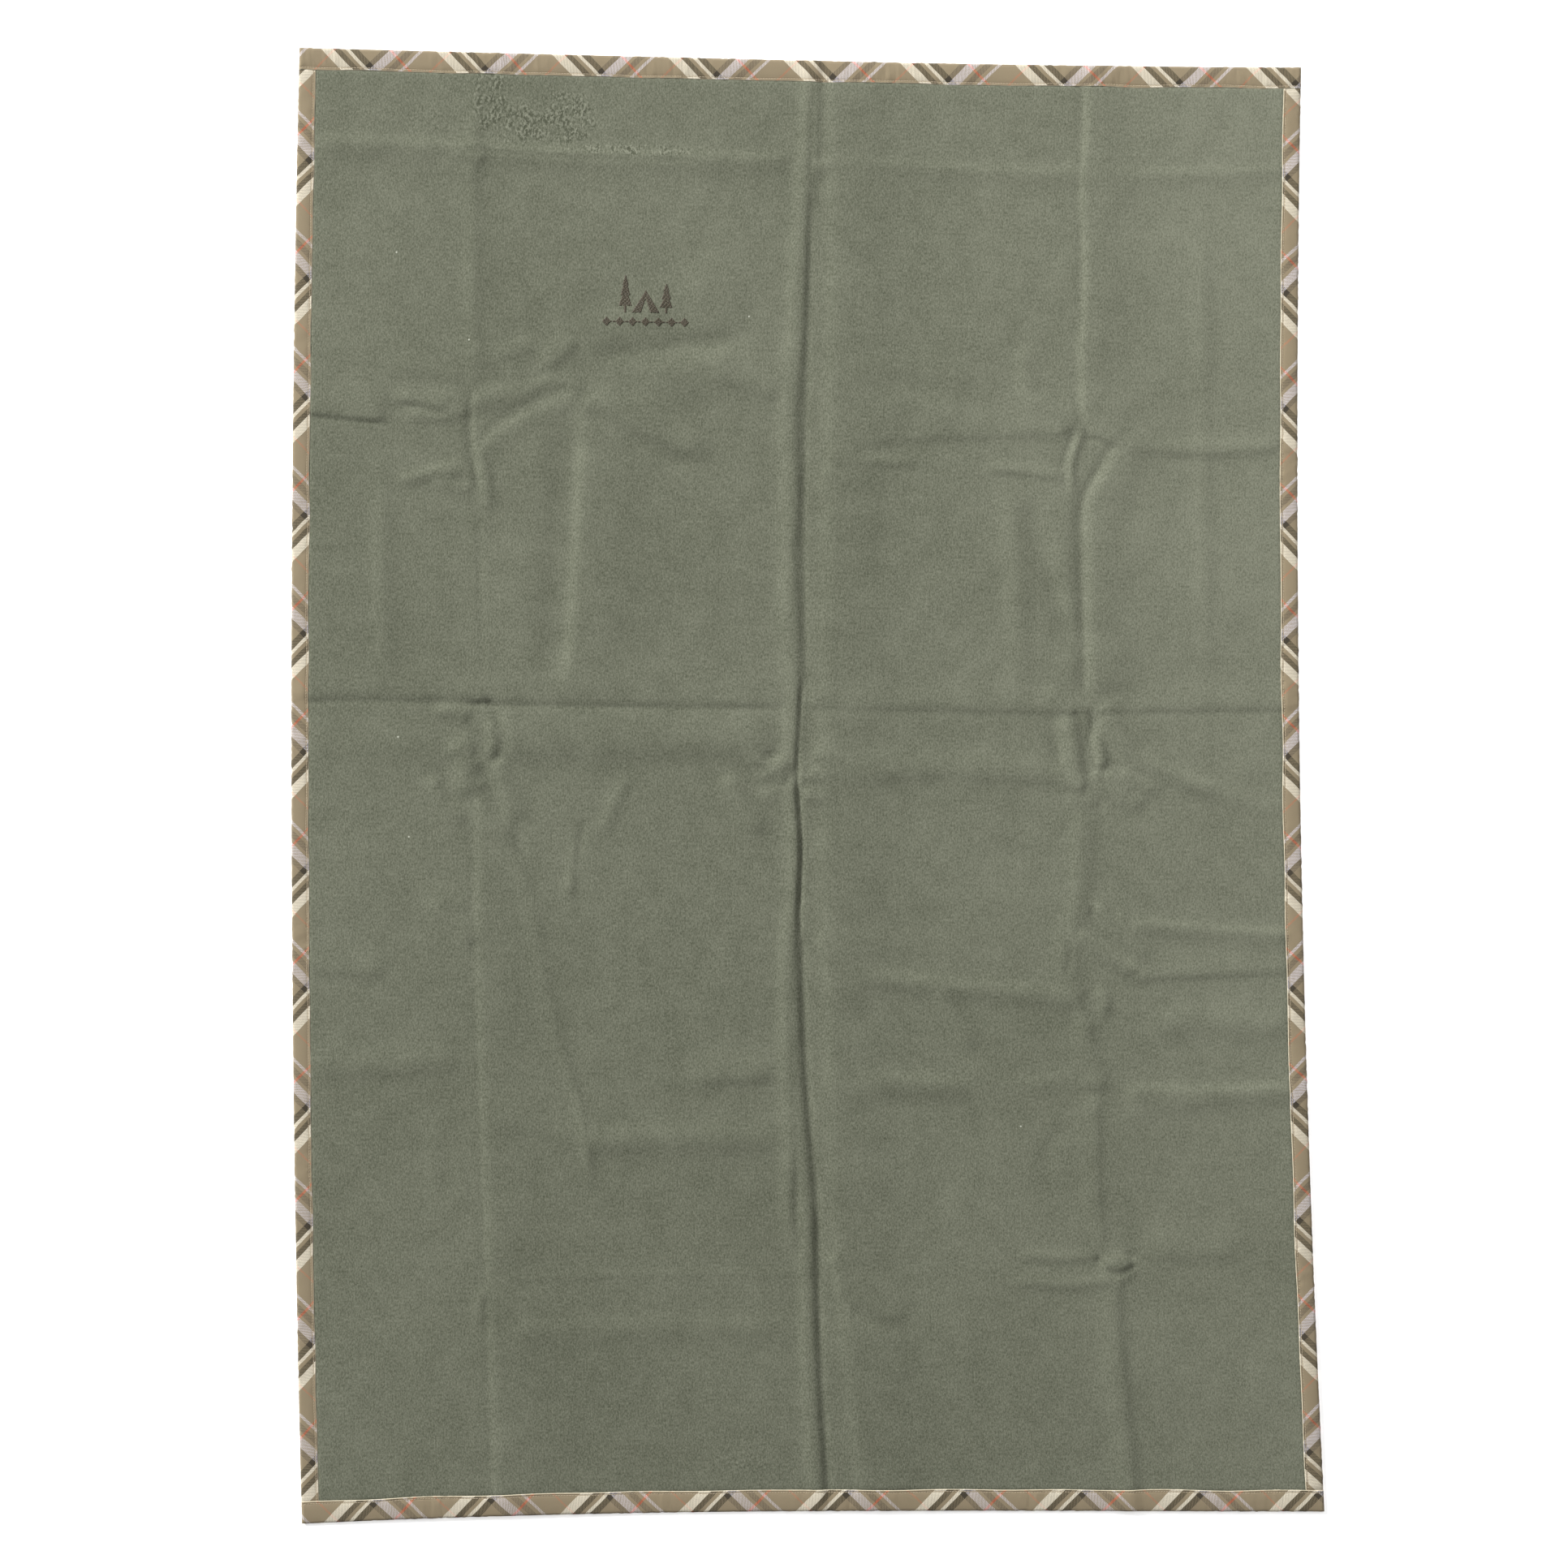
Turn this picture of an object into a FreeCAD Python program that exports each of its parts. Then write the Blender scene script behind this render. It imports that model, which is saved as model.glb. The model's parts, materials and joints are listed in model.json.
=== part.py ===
"""Camp blanket, flat on the floor: a brushed fleece panel bound on four edges with folded tape.

Frame: origin on the floor under the middle of the blanket, +X to the right, +Y to the top edge,
+Z up.  All sizes are in millimetres.  The blanket folds in half along its centre crease, so each
piece that crosses the crease is built as a left piece and a right piece.
"""
import FreeCAD, Part
import math
import os
import Sketcher

SIZES = (
    # alias, value, what it is
    ("blanket_width", 980.0, "finished width over the bindings"),
    ("blanket_length", 1410.0, "finished length over the bindings"),
    ("fleece_thick", 3.4, "fleece panel with its nap"),
    ("fold_gap", 0.4, "clear gap between the halves at the centre crease"),
    ("side_tape", 17.0, "width of the left and right bindings"),
    ("end_tape", 21.0, "width of the top and bottom bindings"),
    ("bound_thick", 3.4, "thickness of a bound edge"),
    ("cloth_thick", 0.35, "one layer of binding cloth"),
    ("turn_under", 7.0, "cloth turned under at the inner edge of a binding"),
    ("fold_round", 0.7, "radius of a binding's outer fold"),
    ("seam_inset", 2.4, "stitch line in from the inner edge of a binding"),
    ("thread_thick", 0.4, "sewing thread"),
    ("thread_sink", 0.25, "how deep the needle thread pulls into the cloth"),
    ("emblem_across", 147.0, "emblem's centre line, left of the centre crease"),
    ("emblem_down", 248.0, "foot of the emblem's trees, below the top edge"),
    ("emblem_thick", 0.6, "satin stitching over the nap"),
    ("tent_width", 27.0, "tent, over its guy lines"),
    ("tent_height", 22.0, "tent, to its ridge"),
    ("door_width", 9.0, "open door of the tent, at the ground"),
    ("door_height", 13.0, "open door of the tent, to its peak"),
    ("pine_width", 13.0, "lowest boughs of a pine"),
    ("pine_spread", 20.0, "each pine's stem, beside the emblem's centre line"),
    ("tall_pine", 37.0, "height of the tall pine"),
    ("small_pine", 29.0, "height of the small pine"),
    ("stem_width", 2.4, "stem of a pine"),
    ("row_width", 85.0, "row of diamonds, over all"),
    ("row_drop", 9.0, "middle of the row, below the foot of the trees"),
    ("diamond_width", 9.0, "one diamond, across"),
    ("diamond_height", 9.0, "one diamond, from point to point"),
    ("row_line", 1.0, "running stitch that joins the diamonds"),
    ("backing_width", 92.0, "non-woven backing under the emblem, across"),
    ("backing_height", 60.0, "non-woven backing under the emblem, up and down"),
    ("backing_rise", 11.0, "middle of the backing, above the foot of the trees"),
    ("backing_thick", 0.3, "non-woven backing"),
)
PINE_TIERS = 3
DIAMONDS = 7
BOUGH_TAPER = 0.25  # each tier of boughs is this share of pine_width narrower than the one below
NOTCH = 0.45  # the notch between two tiers of boughs, as a share of the lower tier's width
STEM_SHARE = 0.18  # bare stem, as a share of a pine's height

SIDES = (("left", -1), ("right", 1))
ENDS = (("top", 1), ("bottom", -1))

# Lines that several pieces share, as expressions on the sheet.
HALF_WIDTH = "Dims.blanket_width / 2"
HALF_LENGTH = "Dims.blanket_length / 2"
HALF_GAP = "Dims.fold_gap / 2"
FIELD_HALF_WIDTH = f"({HALF_WIDTH} - Dims.side_tape)"
FIELD_HALF_LENGTH = f"({HALF_LENGTH} - Dims.end_tape)"
CORE_HALF_WIDTH = f"({HALF_WIDTH} - Dims.cloth_thick)"
CORE_HALF_LENGTH = f"({HALF_LENGTH} - Dims.cloth_thick)"
CORE_THICK = "(Dims.bound_thick - 2 * Dims.cloth_thick)"
NECK_THICK = "(Dims.bound_thick - 4 * Dims.cloth_thick)"
EMBLEM_X = "(-Dims.emblem_across)"
EMBLEM_FOOT = f"({HALF_LENGTH} - Dims.emblem_down)"

doc = FreeCAD.newDocument("CampBlanket")
sheet = doc.addObject("Spreadsheet::Sheet", "Dims")
pieces = []


def fill_sheet():
    """Write the driving dimensions: name, value and note, one row each."""
    for row, (alias, value, note) in enumerate(SIZES, start=1):
        sheet.set(f"A{row}", alias)
        sheet.set(f"B{row}", str(value))
        sheet.set(f"C{row}", note)
        sheet.setAlias(f"B{row}", alias)
    doc.recompute()


def new_piece(name):
    """Start a sub-part of the blanket; its label names its file."""
    body = doc.addObject("PartDesign::Body", name)
    body.Label = name
    body.Placement = FreeCAD.Placement()
    pieces.append(body)
    return body


def origin_plane(body, role):
    """Find one of the body's own origin planes by its role."""
    for feature in body.Origin.OriginFeatures:
        if feature.Role == role:
            return feature
    raise RuntimeError(f"{body.Label} has no {role}")


def outline(body, name, role, height, corners):
    """Sketch a closed outline through corners, each a pair of expressions from the origin."""
    sketch = body.newObject("Sketcher::SketchObject", name)
    sketch.AttachmentSupport = [(origin_plane(body, role), "")]
    sketch.MapMode = "FlatFace"
    sketch.setExpression("AttachmentOffset.Base.z", height)
    count = len(corners)
    turns = [2 * math.pi * i / count for i in range(count)]
    starts = [FreeCAD.Vector(math.cos(turn), math.sin(turn), 0) for turn in turns]
    for i in range(count):
        sketch.addGeometry(Part.LineSegment(starts[i], starts[(i + 1) % count]))
    for i in range(count):
        sketch.addConstraint(Sketcher.Constraint("Coincident", i, 2, (i + 1) % count, 1))
    for i, corner in enumerate(corners):
        for kind, expression, start in zip(("DistanceX", "DistanceY"), corner, starts[i]):
            index = sketch.addConstraint(Sketcher.Constraint(kind, -1, 1, i, 1, start))
            sketch.setExpression(f"Constraints[{index}]", expression)
    return sketch


def rectangle(u_low, u_high, v_low, v_high):
    """Corners of an upright rectangle."""
    return [(u_low, v_low), (u_high, v_low), (u_high, v_high), (u_low, v_high)]


def add_pad(body, name, role, height, corners, length, sides="One side", reverse=False):
    """Add an outline, raised along its plane's normal, as a block of the given length."""
    pad = body.newObject("PartDesign::Pad", name)
    pad.Profile = (outline(body, f"{name}_outline", role, height, corners), [""])
    pad.SideType = sides
    pad.Reversed = reverse
    pad.setExpression("Length", length)
    body.Tip = pad
    return pad


def tape_section(edge, tape):
    """Corners of a folded tape's section, from its outer edge inwards.

    The tape is one layer thick round the outer fold and doubled where it is turned under, with
    a groove for the bobbin thread below and one for the needle thread above.
    """
    layer = "Dims.cloth_thick"
    top = "Dims.bound_thick"
    near = f"({tape} - Dims.seam_inset - Dims.thread_thick / 2)"
    far = f"({tape} - Dims.seam_inset + Dims.thread_thick / 2)"
    turned = f"({tape} - Dims.turn_under)"
    lower = [
        ("0", "0"),
        (near, "0"),
        (near, "Dims.thread_thick"),
        (far, "Dims.thread_thick"),
        (far, "0"),
        (tape, "0"),
        (tape, f"2 * {layer}"),
        (turned, f"2 * {layer}"),
        (turned, layer),
        (layer, layer),
    ]
    upper = [
        (layer, f"{top} - {layer}"),
        (turned, f"{top} - {layer}"),
        (turned, f"{top} - 2 * {layer}"),
        (tape, f"{top} - 2 * {layer}"),
        (tape, top),
        (far, top),
        (far, f"{top} - Dims.thread_sink"),
        (near, f"{top} - Dims.thread_sink"),
        (near, top),
        ("0", top),
    ]
    return [(edge(depth), level) for depth, level in lower + upper]


def thread_section(edge, tape, level):
    """Corners of a thread's square section, with its underside at the given level."""
    near = f"({tape} - Dims.seam_inset - Dims.thread_thick / 2)"
    far = f"({tape} - Dims.seam_inset + Dims.thread_thick / 2)"
    return rectangle(edge(near), edge(far), level, f"{level} + Dims.thread_thick")


def thread_levels():
    """Kinds of seam thread, each with the level of its underside."""
    return (
        ("needle_thread", "Dims.bound_thick - Dims.thread_sink"),
        ("bobbin_thread", "0"),
    )


def outer_fold_edges(shape, across, edge_at):
    """Names of the long edges that run along the tape's outer fold."""
    names = []
    for number, edge in enumerate(shape.Edges, start=1):
        start, end = (vertex.Point for vertex in edge.Vertexes)
        on_fold = all(abs(abs(point[across]) - edge_at) < 1e-6 for point in (start, end))
        if on_fold and abs(start.z - end.z) < 1e-6:
            names.append(f"Edge{number}")
    return names


def round_outer_fold(body, across, edge_at):
    """Round both long edges of the tape's outer fold."""
    doc.recompute()
    block = body.Tip
    fillet = body.newObject("PartDesign::Fillet", f"{body.Name}_fold")
    fillet.Base = (block, outer_fold_edges(block.Shape, across, edge_at))
    fillet.setExpression("Radius", "Dims.fold_round")
    body.Tip = fillet


def build_fleece(side, sign):
    """One half of the fleece: the open field, and the pressed margin inside the bindings."""
    body = new_piece(f"fleece_{side}")
    inner = f"{sign} * {HALF_GAP}"
    field_x = f"{sign} * {FIELD_HALF_WIDTH}"
    core_x = f"{sign} * {CORE_HALF_WIDTH}"
    field = rectangle(inner, field_x, f"-{FIELD_HALF_LENGTH}", FIELD_HALF_LENGTH)
    add_pad(body, f"{side}_field", "XY_Plane", "0", field, "Dims.fleece_thick")
    neck = rectangle(inner, core_x, f"-{CORE_HALF_LENGTH}", CORE_HALF_LENGTH)
    add_pad(body, f"{side}_neck", "XY_Plane", "2 * Dims.cloth_thick", neck, NECK_THICK)
    turned_x = f"{sign} * ({FIELD_HALF_WIDTH} + Dims.turn_under)"
    bead = rectangle(turned_x, core_x, f"-{FIELD_HALF_LENGTH}", FIELD_HALF_LENGTH)
    add_pad(body, f"{side}_bead", "XY_Plane", "Dims.cloth_thick", bead, CORE_THICK)
    for end, end_sign in ENDS:
        turned_y = f"{end_sign} * ({FIELD_HALF_LENGTH} + Dims.turn_under)"
        core_y = f"{end_sign} * {CORE_HALF_LENGTH}"
        bead = rectangle(inner, core_x, turned_y, core_y)
        add_pad(body, f"{side}_{end}_bead", "XY_Plane", "Dims.cloth_thick", bead, CORE_THICK)
    return body


def build_side_binding(side, sign):
    """A side binding with its two threads, butted against the top and bottom bindings."""

    def edge(depth):
        return f"{sign} * ({HALF_WIDTH} - {depth})"

    tape = "Dims.side_tape"
    length = f"2 * {FIELD_HALF_LENGTH}"
    body = new_piece(f"binding_{side}")
    section = tape_section(edge, tape)
    add_pad(body, f"{side}_tape", "XZ_Plane", "0", section, length, sides="Symmetric")
    round_outer_fold(body, 0, sheet.blanket_width / 2)
    for kind, level in thread_levels():
        thread = new_piece(f"{kind}_{side}")
        section = thread_section(edge, tape, level)
        add_pad(thread, f"{kind}_{side}_run", "XZ_Plane", "0", section, length, sides="Symmetric")


def build_end_binding(end, end_sign, side, sign):
    """Half of a top or bottom binding with its two threads, closed at the blanket's corner."""

    def edge(depth):
        return f"{end_sign} * ({HALF_LENGTH} - {depth})"

    tape = "Dims.end_tape"
    name = f"{end}_{side}"
    start = f"{sign} * {HALF_GAP}"
    length = f"{CORE_HALF_WIDTH} - {HALF_GAP}"
    reverse = sign < 0
    body = new_piece(f"binding_{name}")
    section = tape_section(edge, tape)
    add_pad(body, f"{name}_tape", "YZ_Plane", start, section, length, reverse=reverse)
    corner = rectangle(edge("0"), edge(tape), "0", "Dims.bound_thick")
    cap_start = f"{sign} * {CORE_HALF_WIDTH}"
    add_pad(body, f"{name}_cap", "YZ_Plane", cap_start, corner, "Dims.cloth_thick", reverse=reverse)
    round_outer_fold(body, 1, sheet.blanket_length / 2)
    for kind, level in thread_levels():
        thread = new_piece(f"{kind}_{name}")
        section = thread_section(edge, tape, level)
        add_pad(thread, f"{kind}_{name}_run", "YZ_Plane", start, section, length, reverse=reverse)


def tent_outline():
    """A ridge tent seen from the front, with its door open."""
    shape = (
        ("-Dims.tent_width / 2", "0"),
        ("-Dims.door_width / 2", "0"),
        ("0", "Dims.door_height"),
        ("Dims.door_width / 2", "0"),
        ("Dims.tent_width / 2", "0"),
        ("0", "Dims.tent_height"),
    )
    return [(f"{EMBLEM_X} + {u}", f"{EMBLEM_FOOT} + {v}") for u, v in shape]


def pine_outline(sign, height):
    """A pine on its stem, with tiers of boughs that narrow towards the top."""
    boughs = f"{height} * {1 - STEM_SHARE} / {PINE_TIERS}"
    flank = [("Dims.stem_width / 2", "0"), ("Dims.stem_width / 2", f"{height} * {STEM_SHARE}")]
    for tier in range(PINE_TIERS):
        share = (1 - BOUGH_TAPER * tier) / 2
        flank.append((f"Dims.pine_width * {share}", f"{height} * {STEM_SHARE} + {boughs} * {tier}"))
        if tier < PINE_TIERS - 1:
            notch = f"Dims.pine_width * {share * NOTCH}"
            flank.append((notch, f"{height} * {STEM_SHARE} + {boughs} * {tier + 1}"))
    centre = f"{EMBLEM_X} + {sign} * Dims.pine_spread"
    right = [(f"{centre} + {u}", f"{EMBLEM_FOOT} + {v}") for u, v in flank]
    left = [(f"{centre} - {u}", f"{EMBLEM_FOOT} + {v}") for u, v in reversed(flank)]
    return right + [(centre, f"{EMBLEM_FOOT} + {height}")] + left


def build_figures():
    """The emblem's tent and its two pines, stitched over the nap."""
    figures = (
        ("emblem_tent", tent_outline()),
        ("emblem_tall_pine", pine_outline(-1, "Dims.tall_pine")),
        ("emblem_small_pine", pine_outline(1, "Dims.small_pine")),
    )
    for name, corners in figures:
        body = new_piece(name)
        height = "Dims.fleece_thick"
        add_pad(body, f"{name}_stitches", "XY_Plane", height, corners, "Dims.emblem_thick")


def build_diamond_row():
    """The emblem's row of diamonds, joined by a line of running stitch."""
    body = new_piece("emblem_diamond_row")
    middle = f"({EMBLEM_FOOT} - Dims.row_drop)"
    reach = "(Dims.row_width - Dims.diamond_width) / 2"
    line = rectangle(
        f"{EMBLEM_X} - {reach}",
        f"{EMBLEM_X} + {reach}",
        f"{middle} - Dims.row_line / 2",
        f"{middle} + Dims.row_line / 2",
    )
    add_pad(body, "row_stitches", "XY_Plane", "Dims.fleece_thick", line, "Dims.emblem_thick")
    for place in range(DIAMONDS):
        centre = f"({EMBLEM_X} + {reach} * {2 * place / (DIAMONDS - 1) - 1})"
        corners = [
            (f"{centre} - Dims.diamond_width / 2", middle),
            (centre, f"{middle} - Dims.diamond_height / 2"),
            (f"{centre} + Dims.diamond_width / 2", middle),
            (centre, f"{middle} + Dims.diamond_height / 2"),
        ]
        name = f"diamond_{place + 1}"
        add_pad(body, name, "XY_Plane", "Dims.fleece_thick", corners, "Dims.emblem_thick")


def build_backing(fleece):
    """The backing under the emblem, pressed flush into the underside of the fleece."""
    middle = f"({EMBLEM_FOOT} + Dims.backing_rise)"
    patch = rectangle(
        f"{EMBLEM_X} - Dims.backing_width / 2",
        f"{EMBLEM_X} + Dims.backing_width / 2",
        f"{middle} - Dims.backing_height / 2",
        f"{middle} + Dims.backing_height / 2",
    )
    recess = fleece.newObject("PartDesign::Pocket", "backing_recess")
    recess.Profile = (outline(fleece, "recess_outline", "XY_Plane", "0", patch), [""])
    recess.Reversed = True
    recess.setExpression("Length", "Dims.backing_thick")
    fleece.Tip = recess
    body = new_piece("emblem_backing")
    add_pad(body, "backing_patch", "XY_Plane", "0", patch, "Dims.backing_thick")


def check_pieces():
    """Stop before anything is written if a feature failed or a solid isn't sound."""
    for item in doc.Objects:
        if {"Invalid", "Error"} & set(item.State):
            raise RuntimeError(f"{item.Label} failed: {item.State}")
    for body in pieces:
        shape = body.Shape
        if shape.isNull() or not shape.isValid() or len(shape.Solids) != 1:
            raise RuntimeError(f"{body.Label} isn't one valid solid")


def export_pieces():
    """Write each piece to its own STEP file."""
    os.makedirs("parts", exist_ok=True)
    for body in pieces:
        body.Shape.exportStep(f"parts/{body.Label}.step")
        print(f"{body.Label}: {body.Shape.Volume / 1000:.2f} cm3")


fill_sheet()
fleeces = {side: build_fleece(side, sign) for side, sign in SIDES}
for side, sign in SIDES:
    build_side_binding(side, sign)
    for end, end_sign in ENDS:
        build_end_binding(end, end_sign, side, sign)
build_figures()
build_diamond_row()
build_backing(fleeces["left"])
doc.recompute()
check_pieces()
export_pieces()
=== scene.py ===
"""The looks of a camp blanket: brushed fleece, plaid bindings, stitched seams and an emblem.

The blanket lies flat on a pale floor.  Shapes are worked out in millimetres on the blanket as it
was cut and sewn, then laid down: its outline bows, its creases stand up and its pile is pressed.
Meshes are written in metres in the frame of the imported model.
"""
import json
import logging
import math
from dataclasses import dataclass, field
from enum import Enum
from typing import Any, Callable, ClassVar, Iterable, Sequence

import bmesh
import bpy
import numpy as np
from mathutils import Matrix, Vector

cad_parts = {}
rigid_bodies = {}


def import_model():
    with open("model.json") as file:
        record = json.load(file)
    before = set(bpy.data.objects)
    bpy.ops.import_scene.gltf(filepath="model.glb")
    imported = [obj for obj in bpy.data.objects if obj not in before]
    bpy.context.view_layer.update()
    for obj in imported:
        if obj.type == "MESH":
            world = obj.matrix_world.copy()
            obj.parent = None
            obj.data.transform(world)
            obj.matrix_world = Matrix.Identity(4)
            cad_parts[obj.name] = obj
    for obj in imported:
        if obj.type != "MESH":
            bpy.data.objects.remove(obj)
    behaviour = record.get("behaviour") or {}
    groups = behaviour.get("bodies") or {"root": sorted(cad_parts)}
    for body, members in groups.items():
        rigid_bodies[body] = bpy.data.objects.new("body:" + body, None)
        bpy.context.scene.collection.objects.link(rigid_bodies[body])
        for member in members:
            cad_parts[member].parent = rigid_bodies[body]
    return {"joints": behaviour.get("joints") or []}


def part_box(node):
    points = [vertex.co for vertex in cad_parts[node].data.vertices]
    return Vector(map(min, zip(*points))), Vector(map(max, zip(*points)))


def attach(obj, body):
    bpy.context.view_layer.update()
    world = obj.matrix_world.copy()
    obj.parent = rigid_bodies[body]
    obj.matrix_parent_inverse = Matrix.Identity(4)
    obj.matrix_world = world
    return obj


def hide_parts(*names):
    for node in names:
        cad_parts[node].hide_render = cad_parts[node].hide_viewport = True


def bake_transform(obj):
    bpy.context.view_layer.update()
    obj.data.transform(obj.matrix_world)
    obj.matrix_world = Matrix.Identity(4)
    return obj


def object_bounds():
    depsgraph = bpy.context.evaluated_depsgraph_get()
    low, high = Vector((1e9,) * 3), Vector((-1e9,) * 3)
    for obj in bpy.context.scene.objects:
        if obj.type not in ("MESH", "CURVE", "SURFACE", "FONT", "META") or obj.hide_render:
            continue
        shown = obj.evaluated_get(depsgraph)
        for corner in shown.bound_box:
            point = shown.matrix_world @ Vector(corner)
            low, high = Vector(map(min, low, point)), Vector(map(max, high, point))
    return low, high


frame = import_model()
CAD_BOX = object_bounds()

LOG = logging.getLogger("camp_blanket")
MM = 0.001
SAME_PLACE = 1e-7
TINY = 1e-9
WEAVE_MAP = "Weave"
Points = tuple[tuple[float, float], ...]
Colour = tuple[float, float, float, float]


class Side(Enum):
    """The four bound edges of the blanket."""

    LEFT = "left"
    RIGHT = "right"
    TOP = "top"
    BOTTOM = "bottom"

    @property
    def across_width(self) -> bool:
        """Whether the edge runs from left to right, and so crosses the centre fold."""
        return self in (Side.TOP, Side.BOTTOM)


def smoothstep(low: float, high: float, value: np.ndarray) -> np.ndarray:
    """Ease from 0 at low to 1 at high.

    Args:
        low: Where the step begins.
        high: Where the step ends.
        value: Numbers to ease.

    Returns:
        Numbers from 0 to 1.
    """
    share = np.clip((value - low) / (high - low), 0.0, 1.0)
    return share * share * (3.0 - 2.0 * share)


def box_mm(node: str) -> tuple[np.ndarray, np.ndarray]:
    """Read a CAD node's box.

    Args:
        node: Name of the node.

    Returns:
        Its lowest and highest corners in millimetres.
    """
    low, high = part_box(node)
    return np.array(low) / MM, np.array(high) / MM


@dataclass(frozen=True)
class Cut:
    """The blanket's own sizes in millimetres, as it was cut and sewn."""

    half_width: float
    half_length: float
    side_tape: float
    end_tape: float
    bound_thick: float
    fleece_thick: float
    seam_inset: float = 2.4

    @classmethod
    def from_frame(cls) -> "Cut":
        """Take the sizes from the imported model.

        Returns:
            The blanket's sizes.
        """
        side_low, side_high = box_mm("binding_left")
        end_low, end_high = box_mm("binding_top_left")
        return cls(
            half_width=-side_low[0],
            half_length=end_high[1],
            side_tape=side_high[0] - side_low[0],
            end_tape=end_high[1] - end_low[1],
            bound_thick=side_high[2] - side_low[2],
            fleece_thick=box_mm("fleece_left")[1][2],
        )

    def tape(self, side: Side) -> float:
        """Width of the binding on one edge."""
        return self.end_tape if side.across_width else self.side_tape


# ------------------------------------------------------------------ how the blanket lies


@dataclass(frozen=True)
class Crease:
    """A line that folding has left in the cloth, in millimetres.

    A rise above zero lifts the cloth, and one below zero presses its pile in.  left and right
    are the widths of its flanks, seen while walking along the path, and aside moves its crest to
    the left of the path.
    """

    path: Points
    rise: float
    left: float
    right: float
    aside: float = 0.0
    fade: float = 18.0
    reach: ClassVar[float] = 2.6
    overshoot: ClassVar[float] = 0.15
    waves: ClassVar[Points] = ((0.14, 17.0), (0.1, 7.3))

    def smoothed(self) -> np.ndarray:
        """Round the path's corners off by cutting them twice.

        Returns:
            Points along the rounded path.
        """
        line = np.array(self.path, float)
        for _ in range(2):
            near = line[:-1] * 0.75 + line[1:] * 0.25
            far = line[:-1] * 0.25 + line[1:] * 0.75
            inner = np.stack([near, far], axis=1).reshape(-1, 2)
            line = np.concatenate([line[:1], inner, line[-1:]])
        return line

    @staticmethod
    def walk(line: np.ndarray, place: np.ndarray) -> tuple[np.ndarray, np.ndarray, float]:
        """Find how places lie beside a path.

        Args:
            line: Points of the path.
            place: Places to look up, one row each.

        Returns:
            How far each place is to the left of the path, how far along it, and the path's length.
        """
        best = np.full(len(place), np.inf)
        along = np.zeros(len(place))
        hand = np.ones(len(place))
        walked = 0.0
        for start, end in zip(line[:-1], line[1:]):
            step = end - start
            length = max(float(np.hypot(*step)), TINY)
            away = place - start
            share = np.clip(away @ step / length**2, 0.0, 1.0)
            gap = np.hypot(*(away - share[:, None] * step).T)
            closer = gap < best
            best[closer] = gap[closer]
            along[closer] = walked + share[closer] * length
            turn = step[0] * away[:, 1] - step[1] * away[:, 0]
            hand[closer] = np.sign(turn[closer])
            walked += length
        return hand * best, along, walked

    def relief(self, x: np.ndarray, y: np.ndarray) -> np.ndarray:
        """Height that the crease adds at each place.

        Args:
            x: Places across the blanket.
            y: Places along the blanket.

        Returns:
            Heights, zero away from the crease.
        """
        line = self.smoothed()
        reach = self.reach * max(self.left, self.right) + abs(self.aside)
        low, high = line.min(axis=0) - reach, line.max(axis=0) + reach
        near = (x > low[0]) & (x < high[0]) & (y > low[1]) & (y < high[1])
        height = np.zeros_like(x)
        if not near.any():
            return height
        to_left, along, length = self.walk(line, np.stack([x[near], y[near]], axis=1))
        from_crest = to_left - self.aside
        width = np.where(from_crest > 0, self.left, self.right)
        from_end = np.minimum(along, length - along)
        ends = smoothstep(-self.overshoot * self.fade, self.fade, from_end)
        (slow_share, slow), (quick_share, quick) = self.waves
        slow_wave = slow_share * np.sin(along / slow + self.left)
        quick_wave = quick_share * np.sin(along / quick + line[0, 1])
        uneven = 1.0 + slow_wave + quick_wave
        height[near] = self.rise * ends * uneven * np.exp(-((from_crest / width) ** 2))
        return height


@dataclass(frozen=True)
class Wrinkle(Crease):
    """A short crease, such as one where two others cross, which fades close to its ends."""

    fade: float = 8.0


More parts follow.
